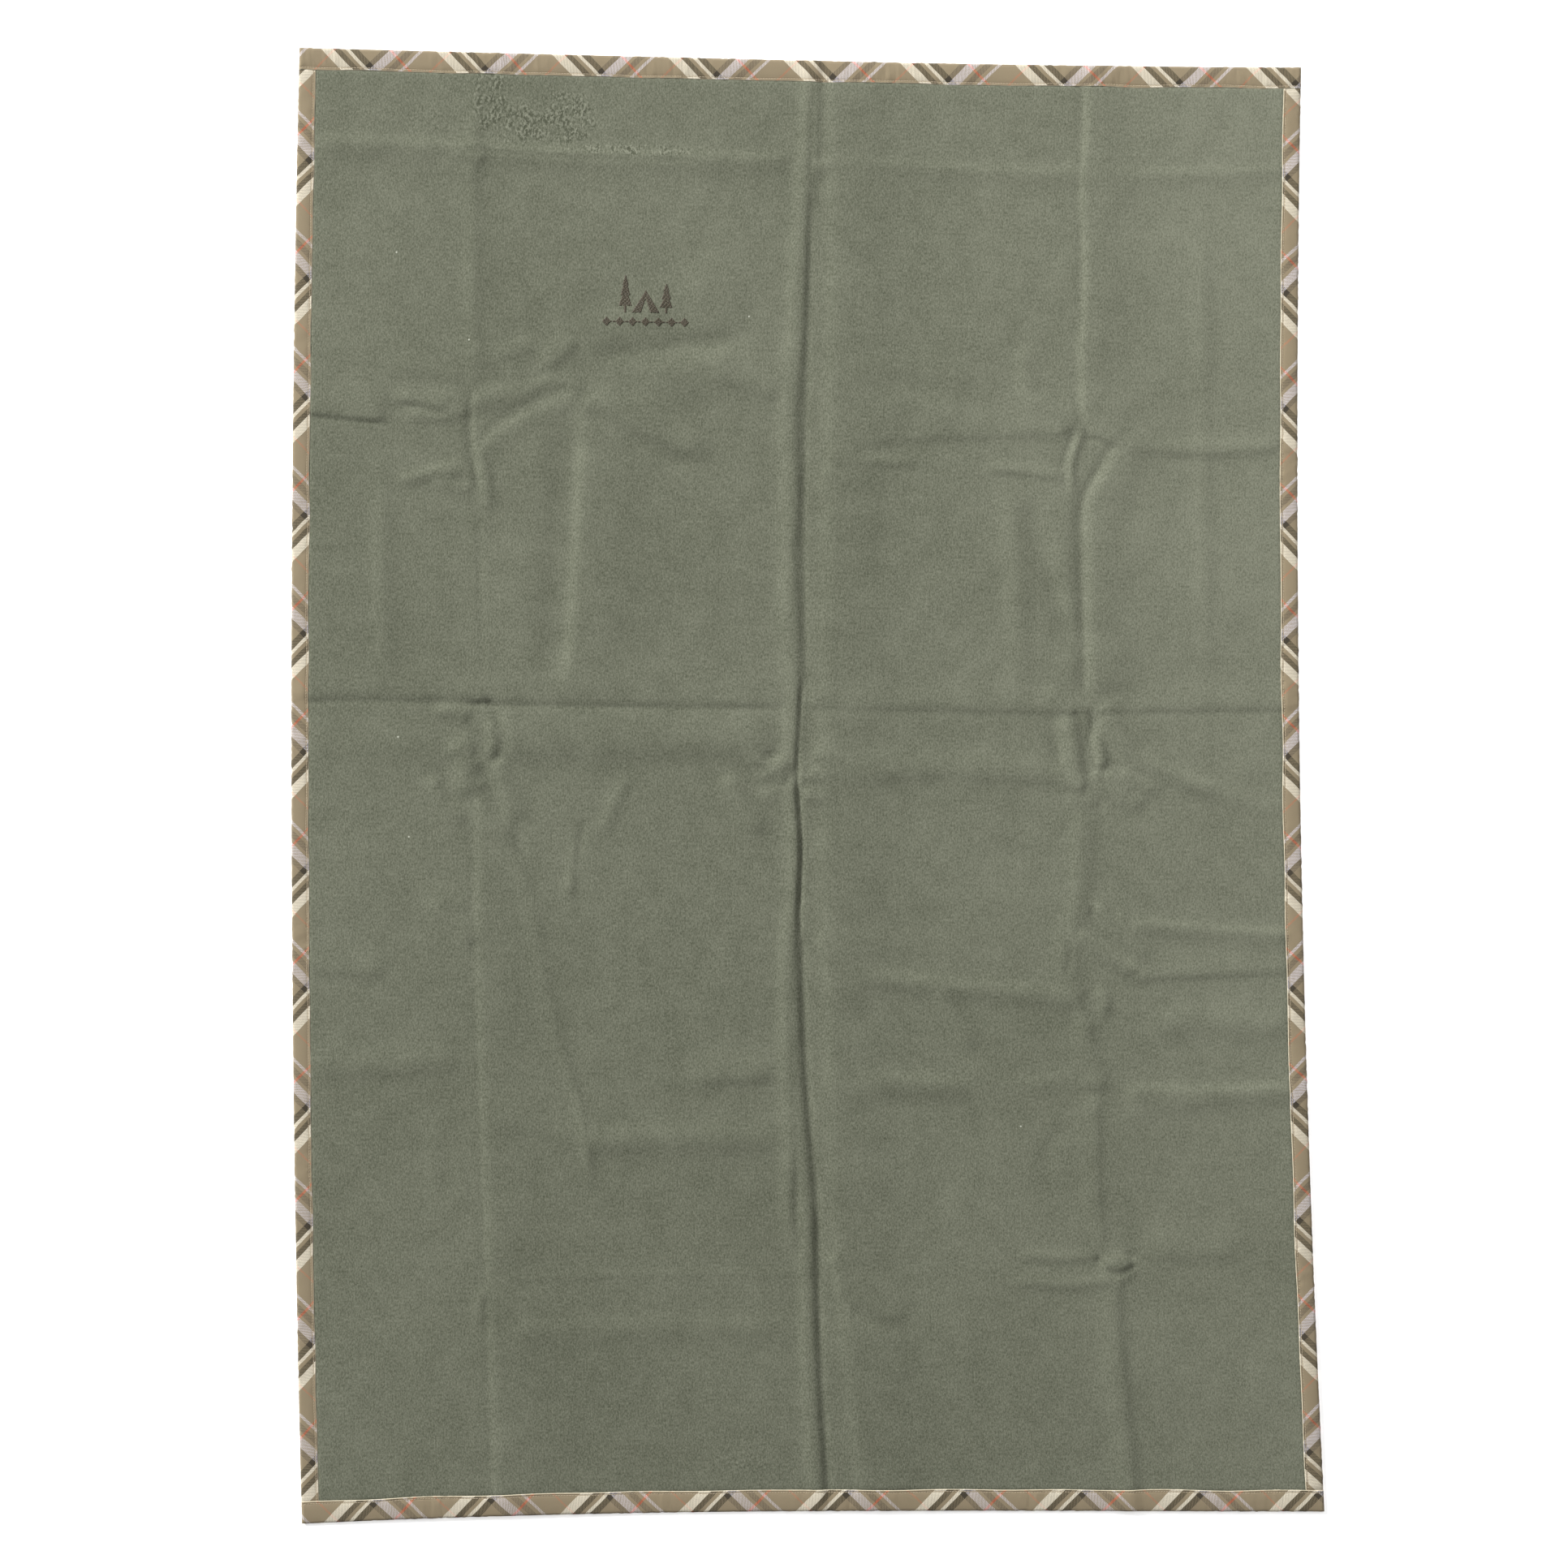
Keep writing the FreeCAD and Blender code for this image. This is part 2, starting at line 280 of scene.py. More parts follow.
CENTRE_CREASES = (
    Crease(((14, 716), (13, 606), (6, 547), (3, 418), (-4, 380), (0, 287), (-4, 213), (2, 100),
            (-3, 8)), 3.2, 7, 10, -1),
    Crease(((-3, 12), (2, -58), (-2, -115), (-7, -162), (-11, -238), (-8, -348), (-13, -427),
            (-4, -452)), 2.6, 4, 8, -1.5),
    Crease(((3, -115), (3, -234), (7, -333), (13, -407), (11, -481), (11, -593),
            (15, -716)), 3, 7.5, 8, -8.5, 60),
    Crease(((6, 700), (4, 420), (1, 280), (3, 100)), -0.7, 3, 4, 8, 30),
    Crease(((3, 104), (0, 60), (-3, 10), (2, -58), (-2, -115), (-1, -150)), -1.5, 2.2, 2.4, 4, 14),
    Crease(((3, -140), (3, -234), (7, -333), (13, -407), (11, -481), (11, -593),
            (15, -712)), -1.2, 4, 4, 1.5, 20),
    Crease(((30, 712), (37, 525), (33, 321), (31, 132), (29, 6), (28, -167), (29, -340),
            (31, -470)), 3, 44, 14, 9, 40),
    Crease(((19, -440), (33, -500), (36, -576), (45, -716)), 3.1, 40, 12, 13, 40),
    Wrinkle(((-46, 27), (-24, 20), (-8, 4)), 2, 5, 6),
    Wrinkle(((-14, -2), (-24, -10), (-38, -14)), 1.2, 5, 5),
    Wrinkle(((10, 14), (22, 1), (38, 8)), 2, 5, 6, 4),
    Wrinkle(((10, 96), (26, 84), (40, 92)), 1.2, 5, 5),
    Wrinkle(((28, -160), (33, -185), (44, -200)), 1.2, 6, 5),
    Wrinkle(((26, -455), (36, -482), (40, -498)), 2.4, 6, 6),
    Crease(((38, -500), (60, -508), (90, -522)), 3.2, 6, 4, 3, 10),
    Crease(((42, -510), (62, -517), (90, -531)), -1.6, 3.2, 4, 0, 10),
    Crease(((56, -528), (76, -546), (96, -576)), 3, 4.5, 6, 0, 12),
    Crease(((-16, 34), (-33, 22), (-18, 6)), -1.6, 3.2, 3.2, 0, 6),
    Wrinkle(((23, -143), (30, -164)), 1.3, 4, 7),
    Wrinkle(((-34, 8), (-18, 14), (-6, 30)), 2.2, 6, 5),
    Wrinkle(((6, -6), (22, -12), (40, -6)), 2.4, 7, 6),
    Wrinkle(((16, 34), (30, 26), (46, 30)), 1.6, 6, 6),
    Wrinkle(((14, 598), (28, 604), (44, 596)), 1.6, 6, 6),
)
RIGHT_CREASES = (
    Crease(((280, 716), (280, 606), (277, 588), (282, 521), (280, 388), (286, 351)), 2.3, 26, 9, 8, 14),
    Crease(((281, 450), (281, 376), (293, 349), (316, 333)), 2.8, 14, 5.5, 0, 14),
    Crease(((280, 690), (280, 606), (277, 588), (282, 521), (280, 388),
            (286, 351)), -0.9, 3.2, 6, -3, 14),
    Wrinkle(((276, 356), (279, 346), (268, 320), (269, 292)), 1.6, 4, 4, 1),
    Wrinkle(((270, 356), (278, 343), (265, 313), (271, 290)), -0.9, 3, 4, -5),
    Crease(((286, 351), (315, 336), (293, 298), (282, 276), (284, 213), (286, 92)), 2.5, 24, 9, 10, 12),
    Crease(((293, 298), (282, 276), (284, 213), (286, 92)), 1.6, 9, 22, -19, 20),
    Crease(((315, 336), (293, 298), (282, 276), (284, 213), (286, 92)), -1, 4, 5, -4, 12),
    Crease(((286, -25), (283, -109), (271, -150), (265, -178), (277, -197),
            (265, -222)), 1.8, 12, 9, -9, 14),
    Wrinkle(((244, 96), (258, 84), (272, 70)), 3, 4.5, 5),
    Crease(((266, 72), (270, 40), (276, -4)), 3.4, 7, 8, 0, 10),
    Wrinkle(((250, 72), (252, 48), (258, 24)), -1.4, 5, 6),
    Wrinkle(((289, 72), (289, 54), (286, 38)), -1.7, 5, 4.5),
    Crease(((299, 72), (310, 52), (324, 34), (374, 12), (410, -4)), 2, 6, 7, 0, 14),
    Wrinkle(((258, -14), (279, -25), (302, -14)), -1.5, 3.4, 3.6),
    Wrinkle(((289, 18), (304, -6), (338, -18)), 2.3, 5, 5.5),
    Crease(((318, -10), (330, -24), (344, -16)), -1.2, 3.4, 3.4, 0, 6),
    Crease(((290, 80), (303, 55), (324, 32)), 2, 13, 8, 6, 10),
    Wrinkle(((294, 12), (307, -6), (322, -14)), 1.4, 8, 6, 9),
    Wrinkle(((294, 12), (307, -6), (322, -14)), -0.8, 3.5, 3.5),
    Wrinkle(((257, -14), (276, -28), (298, -22)), 1.4, 18, 6.5, 4.5),
    Wrinkle(((282, -118), (303, -146), (326, -175)), -1.9, 3, 3),
    Crease(((286, -112), (309, -142), (333, -172)), 2, 6, 5, 2, 10),
    Wrinkle(((272, -140), (298, -162), (327, -180)), 2.6, 5, 7),
    Crease(((286, -222), (285, -253), (298, -278), (291, -300)), 1.6, 9, 15, -7, 12),
    Crease(((292, -300), (289, -407), (295, -433), (318, -455)), 1.4, 6.5, 14, -7, 12),
    Crease(((322, -464), (301, -482), (302, -537), (306, -593), (312, -716)), 2.2, 8, 14, -5, 12),
    Crease(((396, 560), (399, 420), (400, 250), (401, 100)), 1, 6, 9, 0, 60),
    Crease(((205, -460), (250, -463), (285, -459)), 0.9, 6, 5, 4, 12),
    Crease(((200, -483), (261, -488), (299, -480)), 1.3, 8, 6, 2, 14),
    Crease(((322, -462), (360, -464), (425, -462)), 1.6, 20, 12, 13, 26),
    Crease(((200, 300), (206, 200), (209, 92)), 2.4, 14, 10, 10, 50),
    Crease(((230, 284), (252, 190), (276, 118)), -1.7, 8, 12, 0, 30),
    Crease(((238, 300), (245, 180), (243, 110)), 0.5, 6, 10, 0, 40),
    Crease(((221, 430), (224, 384), (240, 368), (262, 362), (277, 346)), 2.2, 12, 5.5, 0, 12),
    Wrinkle(((262, 612), (281, 596), (300, 610)), 1, 5, 5, 4),
    Wrinkle(((262, 612), (281, 596), (300, 610)), 1.2, 9, 7, 18),
    Wrinkle(((290, 82), (303, 55), (324, 32)), -1, 3.2, 3.2, -6),
    Wrinkle(((300, -124), (312, -150), (332, -176)), 1.2, 5, 5, 12),
    Crease(((258, -130), (266, -160), (258, -186)), -0.9, 3.2, 3.2, 0, 10),
    Wrinkle(((284, 346), (300, 342), (318, 334)), -0.9, 3, 3, -4),
    Wrinkle(((250, 20), (262, 4), (282, 2)), 2, 6, 6),
    Wrinkle(((288, 56), (298, 36), (296, 18)), 2.6, 6, 5),
    Crease(((316, 20), (334, 4), (352, -4)), 1.8, 6, 7, 0, 10),
    Crease(((236, 384), (252, 366), (262, 344)), 1.9, 7, 6, 0, 10),
    Crease(((280, -456), (298, -478), (320, -464)), -1.6, 3.2, 3.2, 0, 6),
    Wrinkle(((288, -432), (300, -450), (322, -460)), -1.4, 3.2, 3.2),
    Wrinkle(((284, -466), (300, -463), (316, -462)), 2.2, 6, 6),
    Crease(((266, -330), (240, -342), (232, -370), (240, -400), (262, -414)), -0.6, 6, 6, 0, 20),
    Wrinkle(((286, -196), (298, -206), (294, -222)), 1.8, 6, 6),
    Wrinkle(((266, -214), (278, -228), (276, -246)), 1.6, 6, 6),
)
LEFT_CREASES = (
    Crease(((-317, 690), (-317, 560), (-315, 376)), 1.1, 9, 8, 0, 60),
    Crease(((-316, 380), (-318, 330), (-308, 286)), -1.4, 3.4, 3.6, 0, 10),
    Crease(((-308, 330), (-301, 296), (-297, 262)), 1.8, 6, 6, 0, 14),
    Crease(((-308, 286), (-308, 211), (-303, 100)), -0.4, 3.5, 4, 1, 40),
    Crease(((-310, -20), (-311, -137), (-309, -261), (-306, -380), (-305, -497),
            (-303, -716)), 1.4, 40, 9, 8, 30),
    Crease(((-310, -20), (-311, -137), (-309, -261), (-306, -380), (-305, -497),
            (-303, -690)), -0.4, 2.6, 4, -3, 30),
    Wrinkle(((-299, 84), (-281, 45), (-292, 18)), -0.9, 3.6, 3.6, 1),
    Crease(((-321, 50), (-322, 20), (-320, -12)), 2.4, 7, 7, 0, 10),
    Crease(((-345, 10), (-336, -14), (-317, -22)), -1.4, 3.2, 3.2, 0, 6),
    Wrinkle(((-291, 24), (-282, -6), (-272, -36)), 2.8, 6, 6),
    Crease(((-275, -22), (-269, -44), (-268, -72)), -1.3, 4, 4, 0, 10),
    Crease(((-303, 80), (-290, 72), (-286, 56)), -1.3, 3.4, 3.4, 0, 6),
    Wrinkle(((-332, 88), (-312, 72), (-294, 82)), 1.5, 8, 6, 9),
    Wrinkle(((-346, 12), (-334, -15), (-316, -28)), 2.1, 6.5, 9, -6),
    Wrinkle(((-308, -8), (-294, -34), (-274, -44)), 2.2, 5, 9, -2),
    Wrinkle(((-318, 32), (-330, 5), (-312, -16)), 1.6, 12, 8, 8),
    Crease(((-357, -112), (-327, -137), (-316, -157)), 2, 10, 6, 1, 10),
    Crease(((-203, 380), (-205, 289), (-211, 195), (-218, 80)), 2.9, 40, 12.5, 5, 20),
    Crease(((-203, 360), (-205, 289), (-211, 195), (-218, 88)), 1, 12, 30, -42, 40),
    Crease(((-215, 350), (-217, 289), (-223, 195), (-230, 100)), -1.5, 8, 30, 0, 30),
    Crease(((-314, -12), (-274, -59), (-254, -133), (-238, -238), (-211, -313),
            (-203, -395)), 1.1, 5, 6, 0, 30),
    Crease(((-164, 12), (-178, -18), (-191, -48)), 1.6, 5, 5, 2, 14),
    Crease(((-205, -32), (-210, -60), (-218, -88)), -1, 4, 4, 0, 14),
    Crease(((-213, -56), (-218, -86), (-222, -110)), 1.4, 5, 5, 0, 12),
    Crease(((-68, 12), (-50, -16), (-30, -48)), 3, 6.5, 11, 0, 14),
    Crease(((-410, 320), (-408, 200), (-405, 90)), 1.5, 14, 7, 5, 60),
    Crease(((-352, -325), (-356, -370), (-350, -420)), 0.6, 7, 6, 0, 16),
    Crease(((-334, -345), (-328, -390), (-338, -415)), 0.6, 7, 6, 0, 16),
    Wrinkle(((-332, 88), (-312, 74), (-296, 84), (-282, 45), (-294, 18)), -0.9, 3, 3),
    Crease(((-346, 60), (-336, 30), (-344, 0), (-330, -22)), -0.8, 3.2, 3.2, 0, 8),
    Wrinkle(((-312, 20), (-298, -8), (-286, -36)), -0.9, 3.2, 3.2, 4),
    Crease(((-362, -96), (-340, -112), (-318, -118)), 1, 6, 6, 0, 10),
    Wrinkle(((-352, 66), (-334, 74), (-316, 62)), 2.2, 6, 6),
    Wrinkle(((-300, 60), (-290, 44), (-298, 28)), 2.4, 6, 5),
    Wrinkle(((-340, 26), (-326, 36), (-310, 30)), 1.9, 6, 5),
    Crease(((-286, 14), (-270, -14), (-262, -36)), 1.7, 6, 7, 0, 10),
    Wrinkle(((-336, 612), (-322, 602), (-306, 604)), 1.8, 5, 5),
    Crease(((-350, 600), (-330, 590), (-312, 586)), 1.2, 6, 6, 0, 10),
    Wrinkle(((-306, -484), (-316, -500), (-310, -520)), 1.2, 6, 6),
)
CROSS_CREASES = (
    Crease(((-474, 615), (-326, 612), (-218, 606), (-6, 606)), 2, 6, 13, 1, 24),
    Crease(((-330, 612), (-218, 606), (-90, 606)), -0.5, 1.8, 2, -1, 24),
    Crease(((20, 606), (120, 602), (270, 595), (420, 600), (478, 603)), 1.3, 6, 10, 1, 24),
    Crease(((-480, 351), (-440, 347), (-398, 344)), 2.3, 22, 6.5, 9, 10),
    Crease(((-480, 351), (-440, 347), (-400, 344)), -0.9, 2.6, 2.2, 2, 8),
    Crease(((-398, 372), (-360, 374), (-320, 372)), 0.8, 10, 7, 0, 16),
    Crease(((40, 322), (83, 333), (157, 336), (250, 341), (276, 340)), 1.3, 20, 7, 8, 16),
    Crease(((316, 333), (395, 326), (474, 332)), 1.7, 10, 7, 3, 14),
    Crease(((36, 314), (80, 312), (120, 310)), 1.3, 7, 4.5, 4, 14),
    Crease(((186, 307), (230, 304), (268, 298)), 1.3, 7, 4.5, 4, 14),
    Wrinkle(((24, 301), (52, 288)), 1.2, 6, 4, 5),
    Wrinkle(((24, 301), (52, 288)), 0.8, 5, 8, -8),
    Crease(((30, 314), (64, 312)), 1.5, 9, 6.5, 7, 10),
    Crease(((-486, 80), (-419, 82), (-318, 78), (-166, 75), (-8, 75)), 1.3, 26, 6.5, 8, 8),
    Crease(((-478, 80), (-419, 82), (-318, 78), (-166, 75), (-12, 75)), -0.5, 2.2, 2.2, -1, 8),
    Crease(((12, 75), (120, 73), (261, 71), (360, 74), (486, 76)), 1.2, 18, 6.5, 7.5, 8),
    Crease(((14, 75), (120, 73), (261, 71), (360, 74), (478, 76)), -0.35, 2.2, 2.2, -1, 8),
    Crease(((-305, 42), (-166, 44), (-14, 42)), 3, 24, 17, 0, 24),
    Crease(((-480, 38), (-400, 40), (-320, 38)), 1, 26, 20, 0, 26),
    Crease(((-4, 8), (22, 2), (46, 7), (139, 14), (254, 8)), 2.1, 15, 11, 5, 12),
    Crease(((300, 40), (360, 10), (478, -24)), 1.1, 8, 8, 0, 30),
    Crease(((320, -132), (390, -137), (480, -143)), 1.8, 6, 11, 0, 14),
    Crease(((-480, -179), (-398, -187)), 1.3, 16, 7.5, 7, 14),
    Crease(((50, -179), (157, -190), (280, -199)), 2.1, 9, 9, -6, 22),
    Crease(((318, -190), (380, -186), (480, -181)), 1.6, 16, 5.5, 6, 14),
    Crease(((-112, -291), (-18, -286)), 2.2, 16, 9, 7, 24),
    Crease(((46, -286), (100, -283), (168, -291)), 2.2, 9, 12, -4, 20),
    Crease(((312, -288), (399, -289), (486, -285)), 2.1, 7, 13, -8, 16),
    Crease(((310, -318), (345, -312), (400, -305)), 0.9, 9, 9, 0, 20),
    Crease(((-305, -325), (-250, -345), (-210, -353)), 0.8, 14, 8, 8),
    Crease(((-222, -352), (-134, -346), (-18, -350)), 1.9, 12, 13, 5, 26),
    Crease(((-298, -477), (-197, -474), (-72, -473), (0, -474)), 0.35, 2.6, 3, 0, 24),
    Crease(((-288, -522), (-166, -521), (-6, -522)), 0.9, 6.5, 13, -3, 30),
    Crease(((-478, -271), (-420, -276), (-325, -270)), 1.5, 16, 10, 4, 24),
    Crease(((336, -235), (400, -232), (482, -238)), 1.7, 14, 13, 5, 24),
)
SLANTING_CREASES = (
    Crease(((-120, 500), (-80, 474), (-40, 462)), 2, 30, 26, 0, 40),
    Crease(((-262, 390), (-234, 402), (-210, 424)), -0.9, 3, 3, -1, 10),
    Crease(((-305, 326), (-271, 356), (-214, 382)), -0.5, 5, 5, 6, 14),
    Crease(((-203, 364), (-150, 336), (-100, 310)), -1, 7, 8, -3, 10),
    Wrinkle(((-345, 296), (-322, 302), (-306, 292)), 1.2, 6, 6),
    Crease(((-378, 356), (-340, 352), (-318, 362)), 1.3, 8, 6, 0, 10),
    Crease(((-322, 420), (-290, 400), (-262, 392)), 1.2, 9, 7, 0, 14),
    Crease(((-392, 402), (-350, 398), (-322, 390)), 1, 9, 7, 0, 14),
    Crease(((-246, 398), (-230, 404), (-208, 424)), 2.3, 14, 8, 6, 10),
    Crease(((-262, 480), (-232, 450), (-206, 424)), 1, 20, 14, 18),
    Crease(((-212, 424), (-185, 432), (-150, 446), (-118, 456)), 1.6, 16, 16, 8, 20),
    Crease(((-360, 372), (-290, 374), (-246, 386)), 1.2, 10, 10, -6),
    Crease(((-304, 322), (-274, 346), (-234, 364), (-204, 376)), 1.2, 8, 11, 0, 16),
    Crease(((-316, 371), (-270, 383), (-227, 392), (-206, 376)), 1.1, 8, 9, 0, 16),
    Crease(((-206, 376), (-176, 356), (-124, 332), (-80, 316)), 2.8, 18, 10, 3, 28),
    Crease(((-198, 412), (-150, 419), (-98, 428), (-45, 432)), -1.7, 8, 8, 0, 20),
    Crease(((-160, 392), (-100, 402), (-48, 416)), 1.7, 10, 26, 0, 24),
    Crease(((-84, 404), (-50, 394), (-14, 378)), 2.6, 22, 9, 0, 14),
    Crease(((-390, 365), (-364, 361), (-340, 354)), -0.9, 3.2, 3.2, 0, 10),
    Crease(((-390, 372), (-364, 368), (-340, 361)), 1.3, 6, 4, 0, 10),
    Crease(((-390, 290), (-352, 300), (-320, 310)), 1.7, 6, 6, 0, 14),
    Wrinkle(((-352, 296), (-330, 284), (-312, 286)), 1.8, 5, 5),
    Crease(((-296, 412), (-272, 420), (-250, 424)), 1.3, 6, 6, 0, 12),
    Crease(((-458, 440), (-395, 440)), -0.5, 3, 3, 0, 20),
    Crease(((52, 372), (98, 392), (176, 374)), 1.5, 16, 16, -17, 26),
    Crease(((52, 372), (98, 392), (176, 374)), 0.9, 14, 10, 20, 26),
    Crease(((130, -190), (150, -225), (172, -258)), 2.2, 8, 7, 0, 22),
    Crease(((150, -262), (215, -290), (262, -270)), 0.8, 9, 12, -7, 24),
    Crease(((148, 12), (175, -30), (202, -62)), 0.8, 7, 8, 5, 22),
)
CREASES = CENTRE_CREASES + RIGHT_CREASES + LEFT_CREASES + CROSS_CREASES + SLANTING_CREASES


@dataclass(frozen=True)
class Swell:
    """A long, low wave in the cloth."""

    across: float
    along: float
    phase: float
    rise: float

    def relief(self, x: np.ndarray, y: np.ndarray) -> np.ndarray:
        """Height of the wave at each place."""
        return self.rise * np.sin(self.across * x + self.along * y + self.phase)


@dataclass
class Lie:
    """How the blanket lies: its bowed outline, its creases and its pressed pile."""

    cut: Cut
    emblem: tuple[np.ndarray, np.ndarray]
    rest: float = 0.5
    highest: float = 3.4
    under_share: float = 0.8
    swell_rise: float = 0.102
    swell_length: float = 200.0
    swell_growth: float = 0.8
    softness: float = 0.04
    emblem_margin: float = 4.0
    emblem_dent: float = 0.45
    emblem_ease: tuple[float, float] = (0.85, 1.35)
    drift_scale: float = 700.0
    left_drift: Points = ((-705, 9), (-450, 6), (-110, -2.5), (180, 1), (560, 4.5), (705, 7))
    right_drift: Points = ((-705, 20), (-450, 9), (-230, 1), (180, -5), (420, -6.5), (705, -2.5))
    top_drift: Points = ((-490, 10), (-290, 3.5), (-10, -1), (270, -8.5), (490, -9))
    bottom_drift: Points = ((-490, -10), (-380, -5), (-100, 1), (0, 3), (230, 2.5), (490, 2))
    swell_lengths: tuple[float, ...] = (
        420, 360, 300, 250, 210, 170, 140, 115, 95, 80, 66, 55, 46, 38, 32, 27
    )
    swells: list[Swell] = field(default_factory=list)

    def __post_init__(self) -> None:
        """Choose the swells, the same ones each time."""
        dice = np.random.default_rng(41)
        for length in self.swell_lengths:
            heading = dice.uniform(0, math.pi)
            pull = 2 * math.pi / length
            rise = self.swell_rise * (length / self.swell_length) ** self.swell_growth
            phase = dice.uniform(0, 2 * math.pi)
            wave = Swell(pull * math.cos(heading), pull * math.sin(heading), phase, rise)
            self.swells.append(wave)

    def drift(self, points: Points, place: np.ndarray) -> np.ndarray:
        """Offset of an edge from its straight line.

        Args:
            points: Places along the edge and the offset at each.
            place: Where the offset is wanted.

        Returns:
            The offset at each place, on a cubic near the points.
        """
        where, offset = np.array(points, float).T
        cubic = np.polyfit(where / self.drift_scale, offset, 3)
        return np.polyval(cubic, place / self.drift_scale)

    def plan(self, x: np.ndarray, y: np.ndarray) -> tuple[np.ndarray, np.ndarray]:
        """Move places on the cut cloth to where they lie.

        Args:
            x: Places across the cut cloth.
            y: Places along the cut cloth.

        Returns:
            Where they lie, across and along.
        """
        to_right = x / (2 * self.cut.half_width) + 0.5
        to_top = y / (2 * self.cut.half_length) + 0.5
        left, right = self.drift(self.left_drift, y), self.drift(self.right_drift, y)
        bottom, top = self.drift(self.bottom_drift, x), self.drift(self.top_drift, x)
        return x + left * (1 - to_right) + right * to_right, y + bottom * (1 - to_top) + top * to_top

    def lift_and_dent(self, x: np.ndarray, y: np.ndarray) -> tuple[np.ndarray, np.ndarray]:
        """How far the cloth stands up, and how far its pile is pressed in.

        Args:
            x: Places across the cut cloth.
            y: Places along the cut cloth.

        Returns:
            The lift and the dent, both above zero.
        """
        raised = sum((wave.relief(x, y) for wave in self.swells), np.zeros_like(x))
        pressed = np.zeros_like(x)
        for crease in CREASES:
            relief = crease.relief(x, y)
            if crease.rise > 0:
                raised = raised + relief
            else:
                pressed = pressed - relief
        raised = raised + self.rest
        raised = (raised + np.sqrt(raised**2 + self.softness)) / 2
        softened = raised / (1.0 + (raised / self.highest) ** 4) ** 0.25
        low, high = self.emblem
        middle, reach = (low + high)[:2] / 2, (high - low)[:2] / 2 + self.emblem_margin
        away = np.sqrt(((x - middle[0]) / reach[0]) ** 2 + ((y - middle[1]) / reach[1]) ** 2)
        pressed = pressed + self.emblem_dent * (1.0 - smoothstep(*self.emblem_ease, away))
        return softened, pressed

    def lay(self, points: np.ndarray) -> np.ndarray:
        """Lay down points of the sewn blanket.

        Args:
            points: Places in millimetres, one row each, on the flat blanket.

        Returns:
            Where they lie, in metres.
        """
        x, y, z = points.T
        lift, dent = self.lift_and_dent(x, y)
        depth = np.clip(z / self.cut.fleece_thick, 0.0, 1.0)
        share = self.under_share + (1 - self.under_share) * depth
        down_x, down_y = self.plan(x, y)
        return np.stack([down_x, down_y, z + lift * share - dent * depth], axis=1) * MM


# ------------------------------------------------------------------ making meshes


def finish_mesh(bm: bmesh.types.BMesh, name: str) -> bpy.types.Object:
    """Turn a bmesh into a smooth object at the origin.

    Args:
        bm: The finished shape, which is freed.
        name: Name of the piece.

    Returns:
        The new object, linked to the scene.
    """
    mesh = bpy.data.meshes.new(name)
    bm.to_mesh(mesh)
    bm.free()
    mesh.polygons.foreach_set("use_smooth", [True] * len(mesh.polygons))
    piece = bpy.data.objects.new(name, mesh)
    bpy.context.scene.collection.objects.link(piece)
    return piece


def write_map(mesh: bpy.types.Mesh, across: np.ndarray, along: np.ndarray) -> None:
    """Write the cloth's own map, in millimetres.

    Args:
        mesh: The mesh that gets the map.
        across: Each vertex's place across the cloth.
        along: Each vertex's place along the cloth.
    """
    corners = np.zeros(len(mesh.loops), np.int32)
    mesh.loops.foreach_get("vertex_index", corners)
    layer = mesh.uv_layers.new(name=WEAVE_MAP)
    layer.data.foreach_set("uv", np.stack([across[corners], along[corners]], axis=1).ravel())


def lay_mesh(mesh: bpy.types.Mesh, flat: np.ndarray, lie: Lie) -> None:
    """Lay a flat mesh down, and keep where it was cut as its own map.

    Args:
        mesh: The mesh to move.
        flat: Where each vertex is on the flat blanket, in millimetres.
        lie: How the blanket lies.
    """
    mesh.vertices.foreach_set("co", lie.lay(flat).astype(np.float32).ravel())
    write_map(mesh, flat[:, 0], flat[:, 1])
    mesh.update()


def vertex_places(mesh: bpy.types.Mesh) -> np.ndarray:
    """Read where a mesh's vertices are.

    Args:
        mesh: The mesh to read.

    Returns:
        One row for each vertex.
    """
    places = np.zeros(len(mesh.vertices) * 3, np.float32)
    mesh.vertices.foreach_get("co", places)
    return places.reshape(-1, 3).astype(float)


def grid(columns: int, rows: int) -> tuple[bmesh.types.BMesh, np.ndarray, np.ndarray]:
    """Start a shape from a grid.

    Args:
        columns: Number of vertices across.
        rows: Number of vertices along.

    Returns:
        The grid, and each vertex's column and row.
    """
    bm = bmesh.new()
    bmesh.ops.create_grid(bm, x_segments=columns - 1, y_segments=rows - 1, size=1.0)
    places = np.array([vert.co[:2] for vert in bm.verts])
    column = np.rint((places[:, 0] + 1) / 2 * (columns - 1)).astype(int)
    row = np.rint((places[:, 1] + 1) / 2 * (rows - 1)).astype(int)
    return bm, column, row


